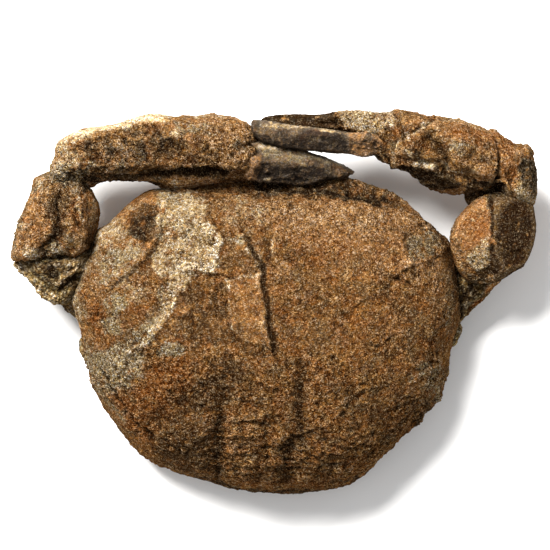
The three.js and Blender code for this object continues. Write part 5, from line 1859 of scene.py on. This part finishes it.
                Facet((10, 54, 39.2), (0.04, -0.5, 0.86), 0.3),
            ),
        ),
        Skin(0.3, 0.15, 0.2, 0.28, 0.3, seed=45, rugged=(Spot((31, 53), (7, 4)),)),
        relief=(Relief(Spot((30.3, 53.2), (7, 4), 0, 3), 0.9),),
        stains_and_painted_light=(
            # painted highlight: a pale streak along the top edge, which faces the lamp
            StainAndPaintedLight(Tint.PALE, 0.8, Streak(((-4.3, 59.8), (6.7, 58.8), (17, 57.2), (25.7, 56.2)), 0.8)),
            StainAndPaintedLight(Tint.IRON, 0.6, Streak(((7.7, 54.8), (12.3, 55.5), (17, 54.8)), 1.2)),
            StainAndPaintedLight(Tint.IRON, 0.5, Spot((1, 52.2), (2, 1.2))),
            StainAndPaintedLight(Tint.TAN, 0.9, Patch(((23.7, 58.2), (37.7, 57.5), (37.7, 49.5), (25, 48.8)), 3)),
            # painted shade: near-black over the finger's back face, turned from the lamp
            StainAndPaintedLight(Tint.CHAR, 1.1, Patch(((-6, 56.8), (21.7, 55.9), (25, 50.2), (-6, 49.8)), 2)),
            StainAndPaintedLight(Tint.CREAM, 0.8, Spot((-0.7, 55.5), (0.4, 1.6), -10)),
            StainAndPaintedLight(Tint.CREAM, 0.7, Spot((1.7, 55.2), (0.4, 1.3), -10)),
            StainAndPaintedLight(Tint.PALE, 0.7, Spot((-4.3, 58.2), (1.6, 1.2))),
        ),
    ),
))


# ---------------------------------------------------------------- the studio


@dataclass(frozen=True)
class Studio:
    """A plain white floor, a soft lamp ahead of the crab and to its left, and a camera straight above."""

    look_at: Spot3 = (0.0, 9.17, 30.0)
    camera_height: float = 2000.0
    view_width: float = 183.33
    sensor: float = 36.0
    lamp_way: Spot3 = (-0.36, 0.53, 0.77)
    lamp_distance: float = 2200.0
    lamp_size: float = 900.0
    lamp_power: float = 176.0
    sky: float = 0.66
    floor_size: float = 6000.0

    def build(self) -> None:
        """Builds the floor, the lights and the camera."""
        self.lay_floor()
        self.hang_lamp()
        self.light_sky()
        self.aim_camera()
        bpy.context.scene.view_settings.view_transform = "Standard"

    def lay_floor(self) -> None:
        """A square at height 0, of plain white paint."""
        half = self.floor_size / 2 * MM
        mesh = bpy.data.meshes.new("studio_floor")
        mesh.from_pydata([
            (-half, -half, 0), (half, -half, 0), (half, half, 0), (-half, half, 0),
        ], [], [(0, 1, 2, 3)])
        paint = bpy.data.materials.new("studio_white")
        paint.use_nodes = True
        shader = paint.node_tree.nodes["Principled BSDF"]
        shader.inputs["Base Color"].default_value = (0.9, 0.9, 0.9, 1)
        shader.inputs["Roughness"].default_value = 0.9
        mesh.materials.append(paint)
        floor = bpy.data.objects.new("studio_floor", mesh)
        bpy.context.scene.collection.objects.link(floor)

    def hang_lamp(self) -> None:
        """A square lamp that faces the crab."""
        lamp = bpy.data.lights.new("studio_lamp", "AREA")
        lamp.size = self.lamp_size * MM
        lamp.energy = self.lamp_power
        lamp.color = (1.0, 0.98, 0.95)
        holder = bpy.data.objects.new("studio_lamp", lamp)
        way = Vector(self.lamp_way).normalized()
        holder.location = way * self.lamp_distance * MM
        holder.rotation_euler = way.to_track_quat("Z", "Y").to_euler()
        bpy.context.scene.collection.objects.link(holder)

    def light_sky(self) -> None:
        """Even white light from all round."""
        world = bpy.data.worlds.new("studio_sky")
        world.use_nodes = True
        world.node_tree.nodes["Background"].inputs["Color"].default_value = (1, 1, 1, 1)
        world.node_tree.nodes["Background"].inputs["Strength"].default_value = self.sky
        bpy.context.scene.world = world

    def aim_camera(self) -> None:
        """A long lens that looks straight down, with the crab's front at the top of the picture."""
        data = bpy.data.cameras.new("studio_camera")
        data.sensor_width = self.sensor
        data.lens = self.sensor * (self.camera_height - self.look_at[2]) / self.view_width
        camera = bpy.data.objects.new("studio_camera", data)
        camera.location = (self.look_at[0] * MM, self.look_at[1] * MM, self.camera_height * MM)
        bpy.context.scene.collection.objects.link(camera)
        bpy.context.scene.camera = camera


def main() -> None:
    """Builds the crab piece by piece, and the studio round it."""
    logging.basicConfig(level=logging.INFO, format="%(name)s: %(message)s")
    for part in (Carapace(), LegStumps(), LEFT_ARM, RIGHT_ARM, Studio()):
        part.build()


if __name__ == "__main__":
    main()
